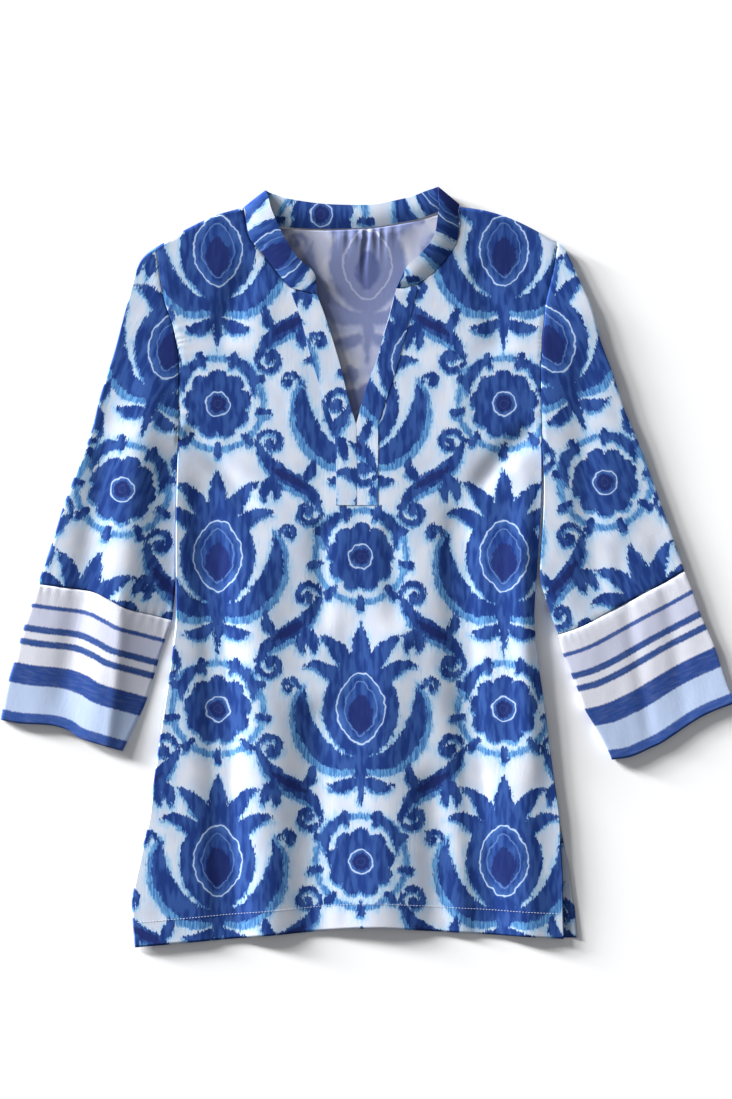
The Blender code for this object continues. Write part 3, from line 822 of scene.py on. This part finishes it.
# %% [markdown]
# ## Printed viscose crepe
#
# The body and the sleeves are a thin viscose crepe, printed with cobalt, mid blue and navy on a
# pale grey ground. Each row of the first table is one pass of dye: the sheet it reads, what frays
# it, the distances where it begins and is full, its strength, and its colour. A second colour
# streaks it along the threads. The pale rings inside the motifs are lines left free of dye, at a
# depth inside the strokes. The inner face has a table of its own: the print comes through the
# cloth there, soft, and its colours are darkened further as painted shade, the shade that falls
# on the back inside the neck opening.

# %% The passes of the print
Fray = namedtuple("Fray", "wide tall most seed")
FRAYS = {"teeth": Fray(1.5, 5, 3.0, 0), "wobble": Fray(8, 9, 2.2, 7), "streaks": Fray(2.4, 17, 7.0, 13)}
Pass = namedtuple("Pass", "sheet line frays begins full strength colour streak streak_size")
PRINTED_GROUND = ("#d3d7e2", "#c5cbda")
PRINTED_PASSES = rows_of(
    Pass,
    ("blue", None, "streaks wobble", 13.0, 2.0, 0.36, "#b4d1ee", None, None),
    ("blue", None, "streaks wobble", 5.0, -0.5, 0.80, "#9cc4e4", None, None),
    ("blue", None, "teeth wobble", 1.0, -1.4, 1.00, "#4270ae", "#659fd2", Fray(1.8, 14, 1, 41)),
    ("cobalt", None, "teeth wobble", 0.5, -0.5, 1.00, "#203a7c", "#355597", Fray(6, 24, 1, 19)),
    ("cobalt", 16.0, "wobble", 5.0, 0.5, 0.35, "#4c76b8", None, None),
    ("cobalt", 14.5, "wobble", 1.1, 0.3, 0.85, "#b9cfee", None, None),
    ("cobalt", 23.0, "wobble", 1.0, 0.2, 0.40, "#7ba0d8", None, None),
    ("navy", None, "teeth wobble", 0.8, -0.8, 0.85, "#1f2962", None, None),
)
# The inner face's colours: the print seen through the cloth, darkened further as painted shade for the shade
# inside the neck opening.
INNER_GROUND_WITH_PAINTED_SHADE = ("#c6c8d7", "#b0b4cb")
INNER_PASSES_WITH_PAINTED_SHADE = rows_of(
    Pass,
    ("blue", None, "wobble", 5.0, -3.0, 1.00, "#a3abc9", None, None),
    ("cobalt", None, "wobble", 3.0, -3.0, 1.00, "#7c86ae", None, None),
    ("cobalt", 14.5, "wobble", 1.5, 0.7, 0.50, "#c0c5da", None, None),
    ("navy", None, "wobble", 2.5, -2.5, 1.00, "#5c6695", None, None),
)
CLOUDS = Fray(26, 40, 1, 3)


def printed_crepe(name, ground, passes):
    material, tree = new_material(name)
    places = cloth_places(tree)
    frays = {key: speckle(tree, places, *fray) for key, fray in FRAYS.items()}
    colour = dye(tree, *map(linear, ground), speckle(tree, places, *CLOUDS), -0.3, 0.4)
    for one in passes:
        distance = painted(tree, one.sheet, [frays[key] for key in one.frays.split()])
        if one.line:
            distance = beside_line(tree, distance, one.line)
        ink = linear(one.colour)
        if one.streak:
            streaks = speckle(tree, places, *one.streak_size)
            ink = dye(tree, ink, linear(one.streak), streaks, -0.3, 0.35)
        colour = dye(tree, colour, ink, distance, one.begins, one.full, one.strength)
    crepe_surface(tree, colour, places)
    return material


printed = printed_crepe("printed viscose crepe", PRINTED_GROUND, PRINTED_PASSES)
print_inside_with_painted_shade = printed_crepe("printed viscose crepe inside with painted shade", INNER_GROUND_WITH_PAINTED_SHADE, INNER_PASSES_WITH_PAINTED_SHADE)
print(printed.name, "has", len(PRINTED_PASSES), "passes of dye, and its inner face", len(INNER_PASSES_WITH_PAINTED_SHADE))

# %% [markdown]
# ## Striped cuff cloth
#
# The cuff bands are cut from the same crepe, printed with stripes that run round the wrist. Each
# stripe is a share of the band's height, so the stripes follow the band wherever it bends. Their
# edges waver by less than a millimetre, as printed edges on a loose weave do. A colour ramp with
# two stops at each edge holds them, because it is the plainest node for bands of flat colour.

# %% The stripes
Stripe = namedtuple("Stripe", "starts colour")
STRIPES = rows_of(
    Stripe,
    (0.0, "#d9dbe6"),
    (0.140, "#3a5698"),
    (0.170, "#cacde2"),
    (0.297, "#33508f"),
    (0.345, "#dcdee9"),
    (0.395, "#33508f"),
    (0.443, "#dbdde7"),
    (0.575, "#2e4b90"),
    (0.722, "#b9cbea"),
    (0.922, "#35549a"),
)
STRIPE_EDGE = 0.005
WAVER, WORN = Fray(2, 5, 0.006, 0), Fray(14, 3, 1, 3)
SEEN_THROUGH = 0.35


def striped_crepe(name, strength):
    """strength is 1 for the printed face, and less where the stripes only show through."""
    material, tree = new_material(name)
    places = cloth_places(tree)
    ground = np.array(linear("#d3d2dc"))
    colours = [ground + strength * (np.array(linear(stripe.colour)) - ground) for stripe in STRIPES]
    down = painted(tree, "stripe", [speckle(tree, places, *WAVER)])
    ramp = add(tree, "ShaderNodeValToRGB", {0: down})
    stops = ramp.color_ramp.elements
    stops[0].position, stops[0].color = 0.0, colours[0]
    stops[1].position, stops[1].color = 1.0, colours[-1]
    for before, after, stripe in zip(colours[:-1], colours[1:], STRIPES[1:]):
        stops.new(stripe.starts - STRIPE_EDGE).color = before
        stops.new(stripe.starts + STRIPE_EDGE).color = after
    worn = speckle(tree, places, *WORN)
    colour = dye(tree, ramp.outputs[0], linear("#c3cbe2"), worn, -0.4, 1.0, 0.10)
    crepe_surface(tree, colour, places)
    return material


striped = striped_crepe("striped viscose crepe", 1.0)
stripe_inside = striped_crepe("striped viscose crepe inside", SEEN_THROUGH)
print("stripes on the cuffs:", len(STRIPES))

# %% [markdown]
# ## Sewing thread
#
# Spun polyester thread, 0.4 mm thick, in a pale grey that goes with the ground of the print. Spun
# thread is duller than silk, so it is rough, with a low sheen. Its twist is half a millimetre
# long, and a noise of that scale stands for it.

# %% The thread
TWIST_MM = 0.5


def sewing_thread():
    material, tree = new_material("spun polyester thread")
    shader = tree.nodes["Principled BSDF"]
    shader.inputs["Roughness"].default_value = 0.6
    shader.inputs["Sheen Weight"].default_value = 0.1
    place = add(tree, "ShaderNodeNewGeometry").outputs["Position"]
    twist = {"Vector": place, "Scale": 1 / (TWIST_MM * MM), "Detail": 1.0}
    fibre = add(tree, "ShaderNodeTexNoise", twist).outputs[0]
    colour = dye(tree, linear("#b4b9d2"), linear("#d5d7e6"), fibre, 0.2, 0.8)
    tree.links.new(colour, shader.inputs["Base Color"])
    return material


thread = sewing_thread()
print(thread.name, "with a twist every", TWIST_MM, "mm")

# %% [markdown]
# ## The shape of the front
#
# The front drops to the back at its shoulders and side seams, where the two are sewn together,
# and stands a few millimetres higher between them. The same rule gives the height under the two
# facing strips and beside the collar, so that what lies on the front always fits it.

# %% The front's height
FRONT_AT_SEAM = 2.6
FRONT_TOP = 5.9
SIDE_ROUNDING = 1.0
HEM_SETTLE = 70.0
HEM_SHARE = 0.75
FOLD_DEPTH = 1.5


def side_points(side, zones):
    return [(row.side_x, row.side_y) for zone in zones for row in FRONT[side][zone]]


def shoulder_line(side):
    """The front's shoulder, from the sleeve to the collar, bowed a little."""
    top = FRONT[side]["neck"][0]
    share = np.linspace(0, 1, 13)
    x = top.side_x + share * (top.edge_x - top.side_x)
    y = top.side_y + share * (top.edge_y - top.side_y) + SHOULDER_BOW[side] * np.sin(np.pi * share)
    return np.column_stack([x, y])


def seams_of_front():
    """The edges of the front that are sewn to the back: its shoulders and its side seams."""
    lines = []
    for side in ("left", "right"):
        lines.append(shoulder_line(side))
        lines.append(np.array(side_points(side, ("body",)), float))
    return lines


def front_height(x, y):
    """The upper face of the front."""
    near = np.min([distance_to(x, y, line)[0] for line in seams_of_front()], axis=0)
    rise = 1 - (1 - np.clip(near / SIDE_ROUNDING, 0, 1)) ** 2
    share = HEM_SHARE + (1 - HEM_SHARE) * smooth(y / HEM_SETTLE)
    loft = (FRONT_TOP - FRONT_AT_SEAM) * share + FOLD_DEPTH * fold_heights(x, y, FRONT_FOLDS)
    loft = np.where(loft > 0.8, loft, 0.8 * np.exp(np.minimum(loft, 0.8) / 0.8 - 1))
    return FRONT_AT_SEAM + rise * (loft + cloth_waves(x, y, 5))


def armhole(side, gap=0.12):
    """The sleeve's upper end: the front's armhole curve, moved clear of it."""
    sign = -1 if side == "left" else 1
    return [(x + sign * gap, y) for x, y in side_points(side, ("neck", "slit"))]


def seam_dip(x, y, lines, depth=0.45, reach=2.6):
    """How far the cloth turns down into a seam, with small puckers beside it."""
    dip = np.zeros(np.shape(x))
    for line in lines:
        line = np.array(line, float)
        far, along = distance_to(x, y, line)
        length = np.linalg.norm(np.diff(line, axis=0), axis=1).sum()
        dip -= depth * np.exp(-((far / reach) ** 2))
        dip += puckers(far, along * length)
    return dip


print("the front is", FRONT_TOP, "mm high at most, before its folds")

# %% [markdown]
# ## The front
#
# The front is one piece with a cut down its middle. The two halves share their points on the
# centre line below the cut, so the panel is whole there. Rows run down from the shoulder to the
# hem, and the columns follow the side, the facing's outer edge and the edge of the cut.

# %% Rows and columns of the front
PANEL_COLUMNS = 66
FACING_COLUMNS = 11
RIM_SHARE = 0.4


def front_rows(side):
    """Rows of measures down one half, and the number of the row where the cut starts and ends."""
    table, other = FRONT[side], FRONT["left"]
    steps = {zone: step_counts([(r.edge_x, r.edge_y) for r in other[zone]], STEP) for zone in other}
    end = [table["neck"][-1], table["slit"][0]]
    steps["end"] = step_counts([(other["neck"][-1].edge_x, other["neck"][-1].edge_y), (other["slit"][0].edge_x, other["slit"][0].edge_y)], STEP)
    parts = [
        spread(table["neck"], steps["neck"])[:-1],
        spread(end, steps["end"])[:-1],
        spread(table["slit"], steps["slit"])[:-1],
        spread(table["body"], steps["body"]),
    ]
    starts = np.cumsum([len(part) for part in parts])
    return np.vstack(parts), starts


def front_half(side):
    """Points across and up for one half: rows down it, columns from side to edge."""
    rows, starts = front_rows(side)
    rows = rows[:, None, :]
    outer, facing, edge = rows[:, :, :2], rows[:, :, 2:4], rows[:, :, 4:]
    wide = np.linspace(0, 1, PANEL_COLUMNS + 1)
    wide[1] *= RIM_SHARE
    wide = wide[None, :, None]
    narrow = np.linspace(0, 1, FACING_COLUMNS + 1)[None, 1:, None]
    points = np.concatenate([outer + wide * (facing - outer), facing + narrow * (edge - facing)], axis=1)
    across = (points[0, :, 0] - points[0, 0, 0]) / (points[0, -1, 0] - points[0, 0, 0])
    fade = np.clip(1 - np.arange(len(points)) / starts[0], 0, 1)
    points[:, :, 1] += fade[:, None] * SHOULDER_BOW[side] * np.sin(np.pi * across)[None, :]
    return points


def neck_line(side):
    """The front's own neck edge, from the shoulder down to the top of the cut."""
    starts = front_rows(side)[1]
    return front_half(side)[: starts[1] + 1, -1]


def front_surface(x, y):
    """The height of the front with its sewn edges."""
    lines = [armhole(side, 0) for side in ("left", "right")]
    lines += [neck_line(side)[::6] for side in ("left", "right")]
    return front_height(x, y) + seam_dip(x, y, lines)

def make_front(looks):
    left, right = front_half("left"), front_half("right")
    cut_end = front_rows("left")[1][2]
    index = numbers(left)
    other = index.size + index
    other[cut_end:, -1] = index[cut_end:, -1]
    plan = np.vstack([left.reshape(-1, 2), right.reshape(-1, 2)])
    x, y = plan[:, 0], plan[:, 1]
    height = front_surface(x, y)
    faces = np.vstack([squares(index), squares(other)[:, ::-1]])
    return shell("printed_front", np.column_stack([x, y, height]), flat_cloth(x, y), faces, looks)


front = make_front([printed, print_inside_with_painted_shade])
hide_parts("front")

# %% [markdown]
# ## The back
#
# The back lies flat on the table with its inner face up. It shows in the neck opening, where the
# print comes through the cloth pale, darkened by painted shade for the shade in the opening. Small
# gathers ease it into the collar, so its points are set close together there and wider apart
# below, where the front hides it.

# %% Rows and columns of the back
GATHER_STEP = 1.5
GATHERED = 60.0
BACK_STEP = 3.6
NECK_SETTLES = 0.95
VENT_STARTS, VENT_TURNED_IN = 170.0, 18.0
SEAM_RISE, SEAM_REACH = 1.2, 5.0


def back_grid():
    """Points across and up: rows from the neck to the hem, columns from left to right."""
    drops = np.concatenate([np.arange(0, 110, 2.0), np.linspace(110, 775, 150)])
    shares = drops / drops[-1]
    sides = []
    for side, sign, vent in (("left", 1, BACK_LEFT_VENT), ("right", -1, BACK_RIGHT_VENT)):
        outline = side_points(side, ("neck", "slit")) + side_points(side, ("body",))[1:]
        inside = [(x + sign * BACK_TUCK, y) for x, y in outline if y > vent[0][1]]
        sides.append(even(inside + list(vent), shares))
    left, right = sides
    ends = (-208.0, 206.0)
    close = np.arange(-GATHERED, GATHERED, GATHER_STEP)
    wide = [np.linspace(ends[0], -GATHERED, 42)[:-1], close, np.linspace(GATHERED, ends[1], 42)]
    across = np.concatenate(wide)
    share = (across - ends[0]) / (ends[1] - ends[0])
    points = left[:, None] + share[None, :, None] * (right - left)[:, None]
    shoulders = np.array([left[0], BACK_SHOULDER["left"], *BACK_NECK, BACK_SHOULDER["right"], right[0]])
    top = np.interp(across, shoulders[:, 0], shoulders[:, 1]) - points[0, :, 1]
    hem = np.array(BACK_HEM, float)
    bottom = np.interp(points[-1, :, 0], hem[:, 0], hem[:, 1]) - points[-1, :, 1]
    fade = np.clip(1 - shares / NECK_SETTLES, 0, 1)
    points[:, :, 1] += fade[:, None] * top + shares[:, None] ** 2 * bottom
    return points


def gather_heights(x, y):
    """The ridges that the gathers raise, from the neck seam down."""
    neck = np.array(BACK_NECK, float)
    drop = np.interp(x, neck[:, 0], neck[:, 1]) - y
    total = np.zeros(np.shape(x))
    for gather in GATHERS:
        sway = gather.across + 1.6 * np.sin(drop / 19 + gather.across)
        fade = np.clip(1 - drop / gather.length, 0, 1) ** 2 * (0.45 + 0.55 * smooth(drop / 8))
        total += gather.height * fade * np.exp(-(((x - sway) / gather.half_width) ** 4))
    return np.maximum(total, 0)


def make_back(looks):
    points = back_grid()
    x, y = points[:, :, 0], points[:, :, 1]
    near = np.minimum(x - x[:, :1], x[:, -1:] - x)
    height = THICKNESS + gather_heights(x, y) + SEAM_RISE * np.exp(-((near / SEAM_REACH) ** 2))
    # The back's print is shifted so that a dark flower of it lies at the tip of the notch: it is print, and there
    # it also serves as painted shade for the shade in the narrow opening.
    cloth = flat_cloth(x, y, shift=(-7, -146))
    return shell("printed_back", np.dstack([points, height]), cloth, squares(numbers(points)), looks)


def turn_in_vent(piece):
    """The edge of the side slit is turned in, so it shows the print's outer face."""
    for face in piece.data.polygons:
        across, up = (face.center.x / MM + MIDDLE[0], face.center.y / MM + MIDDLE[1])
        edge_x = np.interp(-up, [-y for _, y in BACK_RIGHT_VENT], [x for x, _ in BACK_RIGHT_VENT])
        if up < VENT_STARTS and across > edge_x - VENT_TURNED_IN:
            face.material_index = 1


back = make_back([print_inside_with_painted_shade, printed])
turn_in_vent(back)
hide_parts("back")

# %% [markdown]
# ## The facing strips
#
# Two strips of the print face the cut and are stitched down beside it. They are the front's own
# points there, lifted by a cloth's thickness, so they follow each fold under them. Their print is
# cut from another place of the cloth, so it does not run on from the front.

# %% The strips beside the cut
FACING_LIFT = 0.4
FACING_THICKNESS = 0.34


def make_facing(side, looks):
    rows, starts = front_rows(side)
    strip = front_half(side)[starts[1] :, -FACING_COLUMNS - 1 :]
    strip = strip[strip[:, -1, 1] > FACING_END_UP]
    sign = -1 if side == "left" else 1
    strip[:, -1, 0] += sign * 0.2
    x, y = strip[:, :, 0], strip[:, :, 1]
    width = np.abs(x - x[:, -1:])
    pressed = np.exp(-width / 2.2) + np.exp(-np.abs(x - x[:, :1]) / 2.2)
    height = front_surface(x, y) + FACING_LIFT - 0.07 * pressed
    cloth = flat_cloth(x, y, shift=(62 * sign + 30, 118))
    faces = squares(numbers(strip))
    faces = faces if side == "left" else faces[:, ::-1]
    name = "printed_facing_" + side
    return shell(name, np.dstack([strip, height]), cloth, faces, looks, FACING_THICKNESS, crisp=False)


for side in ("left", "right"):
    facing = make_facing(side, [printed, printed])
    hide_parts("facing_" + side)

# %% [markdown]
# ## Sleeves and cuffs
#
# A sleeve is a tube that lies flat. Going round it, the rule below passes along the underside,
# round the outer edge, back over the top, and ends at the inner seam where it began. The seam has
# its own column of points on each side, because the flat cloth starts there and ends there.

# %% A tube that lies flat
TUBE_HEIGHT = 5.9
TUBE_ROUNDING = 2.4
TUBE_LOWEST = 1.6
TUBE_EDGE_SHARE = {"left": 0.3, "right": 0.96}
TUBE_COLUMNS = 64
CROWDING = 0.06
SEAM_COLUMNS = 6


def tube_plan(top, bottom, outer, inner):
    """A rule for places on a flattened tube: share across it and share down it give x and y."""

    def place(across, down):
        across, down = np.broadcast_arrays(across, down)
        t, s = across.ravel(), down.ravel()
        start, end = even(top, t), even(bottom, t)
        left, right = even(outer, s), even(inner, s)
        t, s = t[:, None], s[:, None]
        top_chord = (1 - t) * np.array(top[0], float) + t * np.array(top[-1], float)
        bottom_chord = (1 - t) * np.array(bottom[0], float) + t * np.array(bottom[-1], float)
        flat = (1 - s) * top_chord + s * bottom_chord
        plan = (1 - s) * start + s * end + (1 - t) * left + t * right - flat
        return plan.reshape(*across.shape, 2)

    return place


def along_tube(plan, outer, upper):
    """Where each place lay on the flat cloth, which was folded along the tube's outer edge."""
    first, last = np.array(outer[0], float), np.array(outer[-1], float)
    down = (last - first) / np.linalg.norm(last - first)
    inward = np.array([-down[1], down[0]])
    across, up = (plan - first) @ inward, -(plan - first) @ down
    outer_fold, inner_fold = (across[:, k - SEAM_COLUMNS, None] for k in (TUBE_COLUMNS, 2 * TUBE_COLUMNS))
    across = np.where(upper, across, 2 * outer_fold - across)
    across[:, 1 - SEAM_COLUMNS :] = 2 * inner_fold - (2 * outer_fold - across[:, 1 - SEAM_COLUMNS :])
    return across, up


def tube(name, side, place, outer, rows, heights, dips, looks, seed):
    """One flattened tube. outer is its outer edge, and dips are its seams on top."""
    turn = np.linspace(0, 1, 2 * TUBE_COLUMNS + 1) + SEAM_COLUMNS / (2 * TUBE_COLUMNS)
    share = 1 - np.abs(1 - np.abs(2 * turn - 1))
    share = share - CROWDING * np.sin(2 * np.pi * share)
    share, along = np.meshgrid(share, np.linspace(0, 1, rows + 1))
    plan = place(share, along)
    x, y = plan[:, :, 0], plan[:, :, 1]
    ends = place(np.array([[0.0, 1.0]]), along[:, :1])
    width = np.linalg.norm(ends[:, 1] - ends[:, 0], axis=1)[:, None]
    upper = (turn >= 0.5) & (turn <= 1)
    near = np.minimum(share, 1 - share) * width
    bulge = np.sqrt(1 - (1 - np.clip(near / TUBE_ROUNDING, 0, 1)) ** 2)
    top = np.interp(along, (0, 1), heights) + FOLD_DEPTH * fold_heights(x, y, SLEEVE_FOLDS[side])
    top = np.maximum(top + cloth_waves(x, y, seed), TUBE_LOWEST)
    edge = TUBE_EDGE_SHARE[side] * top
    loft = top - edge + seam_dip(x, y, dips)
    z = np.where(upper, edge + bulge * loft, edge * (1 - bulge))
    cloth_across, cloth_up = along_tube(plan, outer, upper)
    faces = squares(numbers(plan))
    faces = faces if side == "left" else faces[:, ::-1]
    cloth = flat_cloth(cloth_across, cloth_up, shift=(-47 if side == "left" else 48, 22))
    cloth["stripe"] = along
    return shell(name, np.dstack([plan, z]), cloth, faces, looks)


# %% [markdown]
# ## The sleeves
#
# Each sleeve starts at the front's armhole curve and ends at the cuff's seam. Both edges turn
# down into their seams, which is what makes a sewn line look pressed in rather than drawn.

# %% Two sleeves
SEWN_GAP = 0.12
for side in ("left", "right"):
    top = armhole(side, SEWN_GAP)
    outer, inner = [top[0], *SLEEVE_OUTER[side][1:]], [top[-1], *SLEEVE_INNER[side][1:]]
    place = tube_plan(top, CUFF_SEAM[side], outer, inner)
    dips = [top, CUFF_SEAM[side]]
    heights = (TUBE_HEIGHT, TUBE_HEIGHT)
    name = "printed_sleeve_" + side
    sleeve = tube(name, side, place, outer, 140, heights, dips, [printed, print_inside_with_painted_shade], 11)
    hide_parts("sleeve_" + side)

# %% [markdown]
# ## The striped cuffs
#
# The bands are tubes too, sewn to the sleeves' ends. They widen a little to the hem, which lies
# lower, because nothing holds the opening up. The stripes follow each band's own height.

# %% Two cuffs
CUFF_HEM_HEIGHT = {"left": 5.4, "right": 4.8}
for side in ("left", "right"):
    seam = [(x, y - SEWN_GAP) for x, y in CUFF_SEAM[side]]
    outer, inner = [seam[0], *CUFF_OUTER[side][1:]], [seam[-1], *CUFF_INNER[side][1:]]
    place = tube_plan(seam, CUFF_HEM[side], outer, inner)
    heights = (TUBE_HEIGHT, CUFF_HEM_HEIGHT[side])
    name = "striped_cuff_" + side
    cuff = tube(name, side, place, outer, 56, heights, [seam], [striped, stripe_inside], 17)
    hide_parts("cuff_" + side)

# %% [markdown]
# ## The collar
#
# The collar is a doubled band round the neck. It folds over at the sides of the neck, so the
# picture shows its outer face on the front and its inner face behind. Sections round the neck say
# where its seam and its free edge lie, and it bulges softly between the two.

# %% A band round the neck
COLLAR_THICKNESS = 1.4
COLLAR_ROWS = 15
COLLAR_BULGE = 1.0


def collar_sections():
    """Sections round the neck. On the front they start one gap from the front's own neck edge."""
    fine = fine_curve(COLLAR_SECTIONS)
    half = len(fine) // 2
    sides = {}
    for side, part in (("left", fine[:half]), ("right", fine[half:])):
        edge = neck_line(side)[::-1]
        edge = edge[edge[:, 1] < COLLAR_ON_FRONT_BELOW]
        along = np.gradient(edge, axis=0)
        along /= np.linalg.norm(along, axis=1)[:, None]
        sign = 1 if side == "left" else -1
        seam = edge + sign * SEWN_GAP * np.column_stack([along[:, 1], -along[:, 0]])
        nearest = [np.argmin(np.linalg.norm(part[:, :2] - place, axis=1)) for place in seam]
        sides[side] = np.column_stack([seam, part[nearest, 2:]])
    behind = [row for row in COLLAR_SECTIONS if row.seam_y > COLLAR_ON_FRONT_BELOW or row.seam_z < 1.2]
    behind = spread(behind, step_counts(behind, STEP))
    return np.vstack([sides["left"], behind, sides["right"][::-1]])


def make_collar(looks):
    sections = collar_sections()
    seam, edge = sections[:, None, :3], sections[:, None, 3:]
    share = np.linspace(0, 1, COLLAR_ROWS + 1)[None, :, None]
    points = seam + share * (edge - seam)
    points[:, :, 2] += COLLAR_BULGE * np.sin(np.pi * share[:, :, 0])
    long = np.concatenate([[0], np.cumsum(np.linalg.norm(np.diff(sections[:, :2], axis=0), axis=1))])
    wide = np.linalg.norm(edge - seam, axis=2)
    across = np.broadcast_to(long[:, None], points.shape[:2])
    cloth = flat_cloth(across, share[:, :, 0] * wide, shift=(-61, 235))
    faces = squares(numbers(points))
    return shell("printed_collar", points, cloth, faces, looks, COLLAR_THICKNESS, 0.0, crisp=False)


collar = make_collar([printed, printed])
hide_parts("collar")

# %% [markdown]
# ## Stitches
#
# A topstitch shows as a row of short beads of thread, each sunk a little where the needle went
# in. Real stitches here are about 2.5 mm long and 0.4 mm thick. Each row is one small mesh of
# such beads, laid on the cloth along a line, so that the seams keep their scale in a close view.

# %% A row of stitches
STITCH, STITCH_SPACING, THREAD_RADIUS = 2.3, 3.2, 0.26
BEAD_SIDES = 6
BEAD_RINGS = ((0.0, 0.2, -0.25), (0.22, 0.9, 0.02), (0.5, 1.0, 0.1), (0.78, 0.9, 0.02), (1.0, 0.2, -0.25))


def stitch_row(name, lines):
    """Beads along lines of places on the cloth's upper face, in mm."""
    points, faces = [], []
    turns = np.linspace(0, 2 * np.pi, BEAD_SIDES, endpoint=False)
    for line in lines:
        length = np.concatenate([[0], np.cumsum(np.linalg.norm(np.diff(line, axis=0), axis=1))])
        for start in np.arange(STITCH_SPACING / 2, length[-1] - STITCH, STITCH_SPACING):
            ends = [[np.interp(at, length, line[:, k]) for k in range(3)] for at in (start, start + STITCH)]
            first, last = np.array(ends)
            way = (last - first) / np.linalg.norm(last - first)
            side = np.cross((0, 0, 1), way)
            side /= np.linalg.norm(side)
            up = np.cross(way, side)
            base = len(points)
            for share, radius, lift in BEAD_RINGS:
                middle = first + share * (last - first) + (0.3 * THREAD_RADIUS + lift) * up
                for turn in turns:
                    round_it = THREAD_RADIUS * radius * (np.cos(turn) * side + np.sin(turn) * up)
                    points.append(middle + round_it)
            for ring_number in range(len(BEAD_RINGS) - 1):
                a, b = base + BEAD_SIDES * ring_number, base + BEAD_SIDES * (ring_number + 1)
                for k in range(BEAD_SIDES):
                    n = (k + 1) % BEAD_SIDES
                    faces.append((a + k, a + n, b + n, b + k))
            last_ring = base + BEAD_SIDES * (len(BEAD_RINGS) - 1)
            faces.append(tuple(range(base + BEAD_SIDES - 1, base - 1, -1)))
            faces.append(tuple(range(last_ring, last_ring + BEAD_SIDES)))
    mesh = bpy.data.meshes.new(name)
    mesh.from_pydata(in_scene(points).tolist(), [], faces)
    mesh.materials.append(thread)
    mesh.shade_smooth()
    row = bpy.data.objects.new(name, mesh)
    bpy.context.scene.collection.objects.link(row)
    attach(row, "root")
    print(f"{name}: {len(points) // (BEAD_SIDES * len(BEAD_RINGS))} stitches")
    return row


# %% [markdown]
# ## Where the stitches run
#
# The hem is turned up 26 mm and stitched once, all across the front.

# %% Rows on the front
HEM_TURNED_UP = 26.0


def on_front(places, lift=0.0):
    places = np.array(places, float)
    height = front_surface(places[:, 0], places[:, 1]) + lift
    return np.column_stack([places, height])


left_hem, right_hem = front_half("left")[-1], front_half("right")[-1]
hem_line = np.vstack([left_hem, right_hem[::-1][1:]]) + (0, HEM_TURNED_UP)
stitch_row("hem_stitches", [on_front(hem_line[1:-1])])

# %% [markdown]
# ## Table, light and camera
#
# The tunic lies on a large pale table. Three soft suns shine in low from the upper left, each at
# its own height, so that folds three millimetres deep still throw a soft shade to the lower right.
# A pale world fills the shadows. The camera looks straight down from 3.2 m, as a shop
# photographer's does.

# %% The table
FLOOR_BELOW = 0.3
bpy.ops.mesh.primitive_plane_add(size=24.0, location=(0, 0, -FLOOR_BELOW * MM))
table = bpy.context.object
table.name = "pale_table"
table_paper, paper_tree = new_material("pale paper table")
paper = paper_tree.nodes["Principled BSDF"]
paper.inputs["Base Color"].default_value = linear("#fbfbfb")
paper.inputs["Roughness"].default_value = 0.95
paper.inputs["Specular IOR Level"].default_value = 0.1
table.data.materials.append(table_paper)

# %% Light
def soft_sun(name, azimuth, elevation, share, spread_angle):
    """Even light from one side. share is how much of the table's brightness it gives."""
    data = bpy.data.lights.new(name, "SUN")
    up = np.sin(np.radians(elevation))
    data.energy = np.pi * share / up
    data.angle = np.radians(spread_angle)
    lamp = bpy.data.objects.new(name, data)
    flat = np.cos(np.radians(elevation))
    way = (flat * np.cos(np.radians(azimuth)), flat * np.sin(np.radians(azimuth)), up)
    lamp.location = way
    lamp.rotation_mode = "QUATERNION"
    lamp.rotation_quaternion = lamp.location.to_track_quat("Z", "Y")
    bpy.context.scene.collection.objects.link(lamp)
    print(name, "gives", share, "of the light")


soft_sun("high window", 140, 18, 0.27, 9)
soft_sun("low window", 148, 11, 0.34, 8)
soft_sun("window sill", 156, 6, 0.20, 6)
world = bpy.data.worlds.new("pale room")
bpy.context.scene.world = world
world.use_nodes = True
world.node_tree.nodes["Background"].inputs["Color"].default_value = (0.97, 0.99, 1.03, 1.0)
world.node_tree.nodes["Background"].inputs["Strength"].default_value = 0.25

# %% Camera
CAMERA_PLACE = (-0.00255, 0.01866, 3.2)
PICTURE_TALL = 1.154
camera_data = bpy.data.cameras.new("camera above")
camera_data.lens = camera_data.sensor_width * CAMERA_PLACE[2] / PICTURE_TALL
camera = bpy.data.objects.new("camera above", camera_data)
camera.location = CAMERA_PLACE
bpy.context.scene.collection.objects.link(camera)
bpy.context.scene.camera = camera
print("lens:", round(camera_data.lens, 1), "mm")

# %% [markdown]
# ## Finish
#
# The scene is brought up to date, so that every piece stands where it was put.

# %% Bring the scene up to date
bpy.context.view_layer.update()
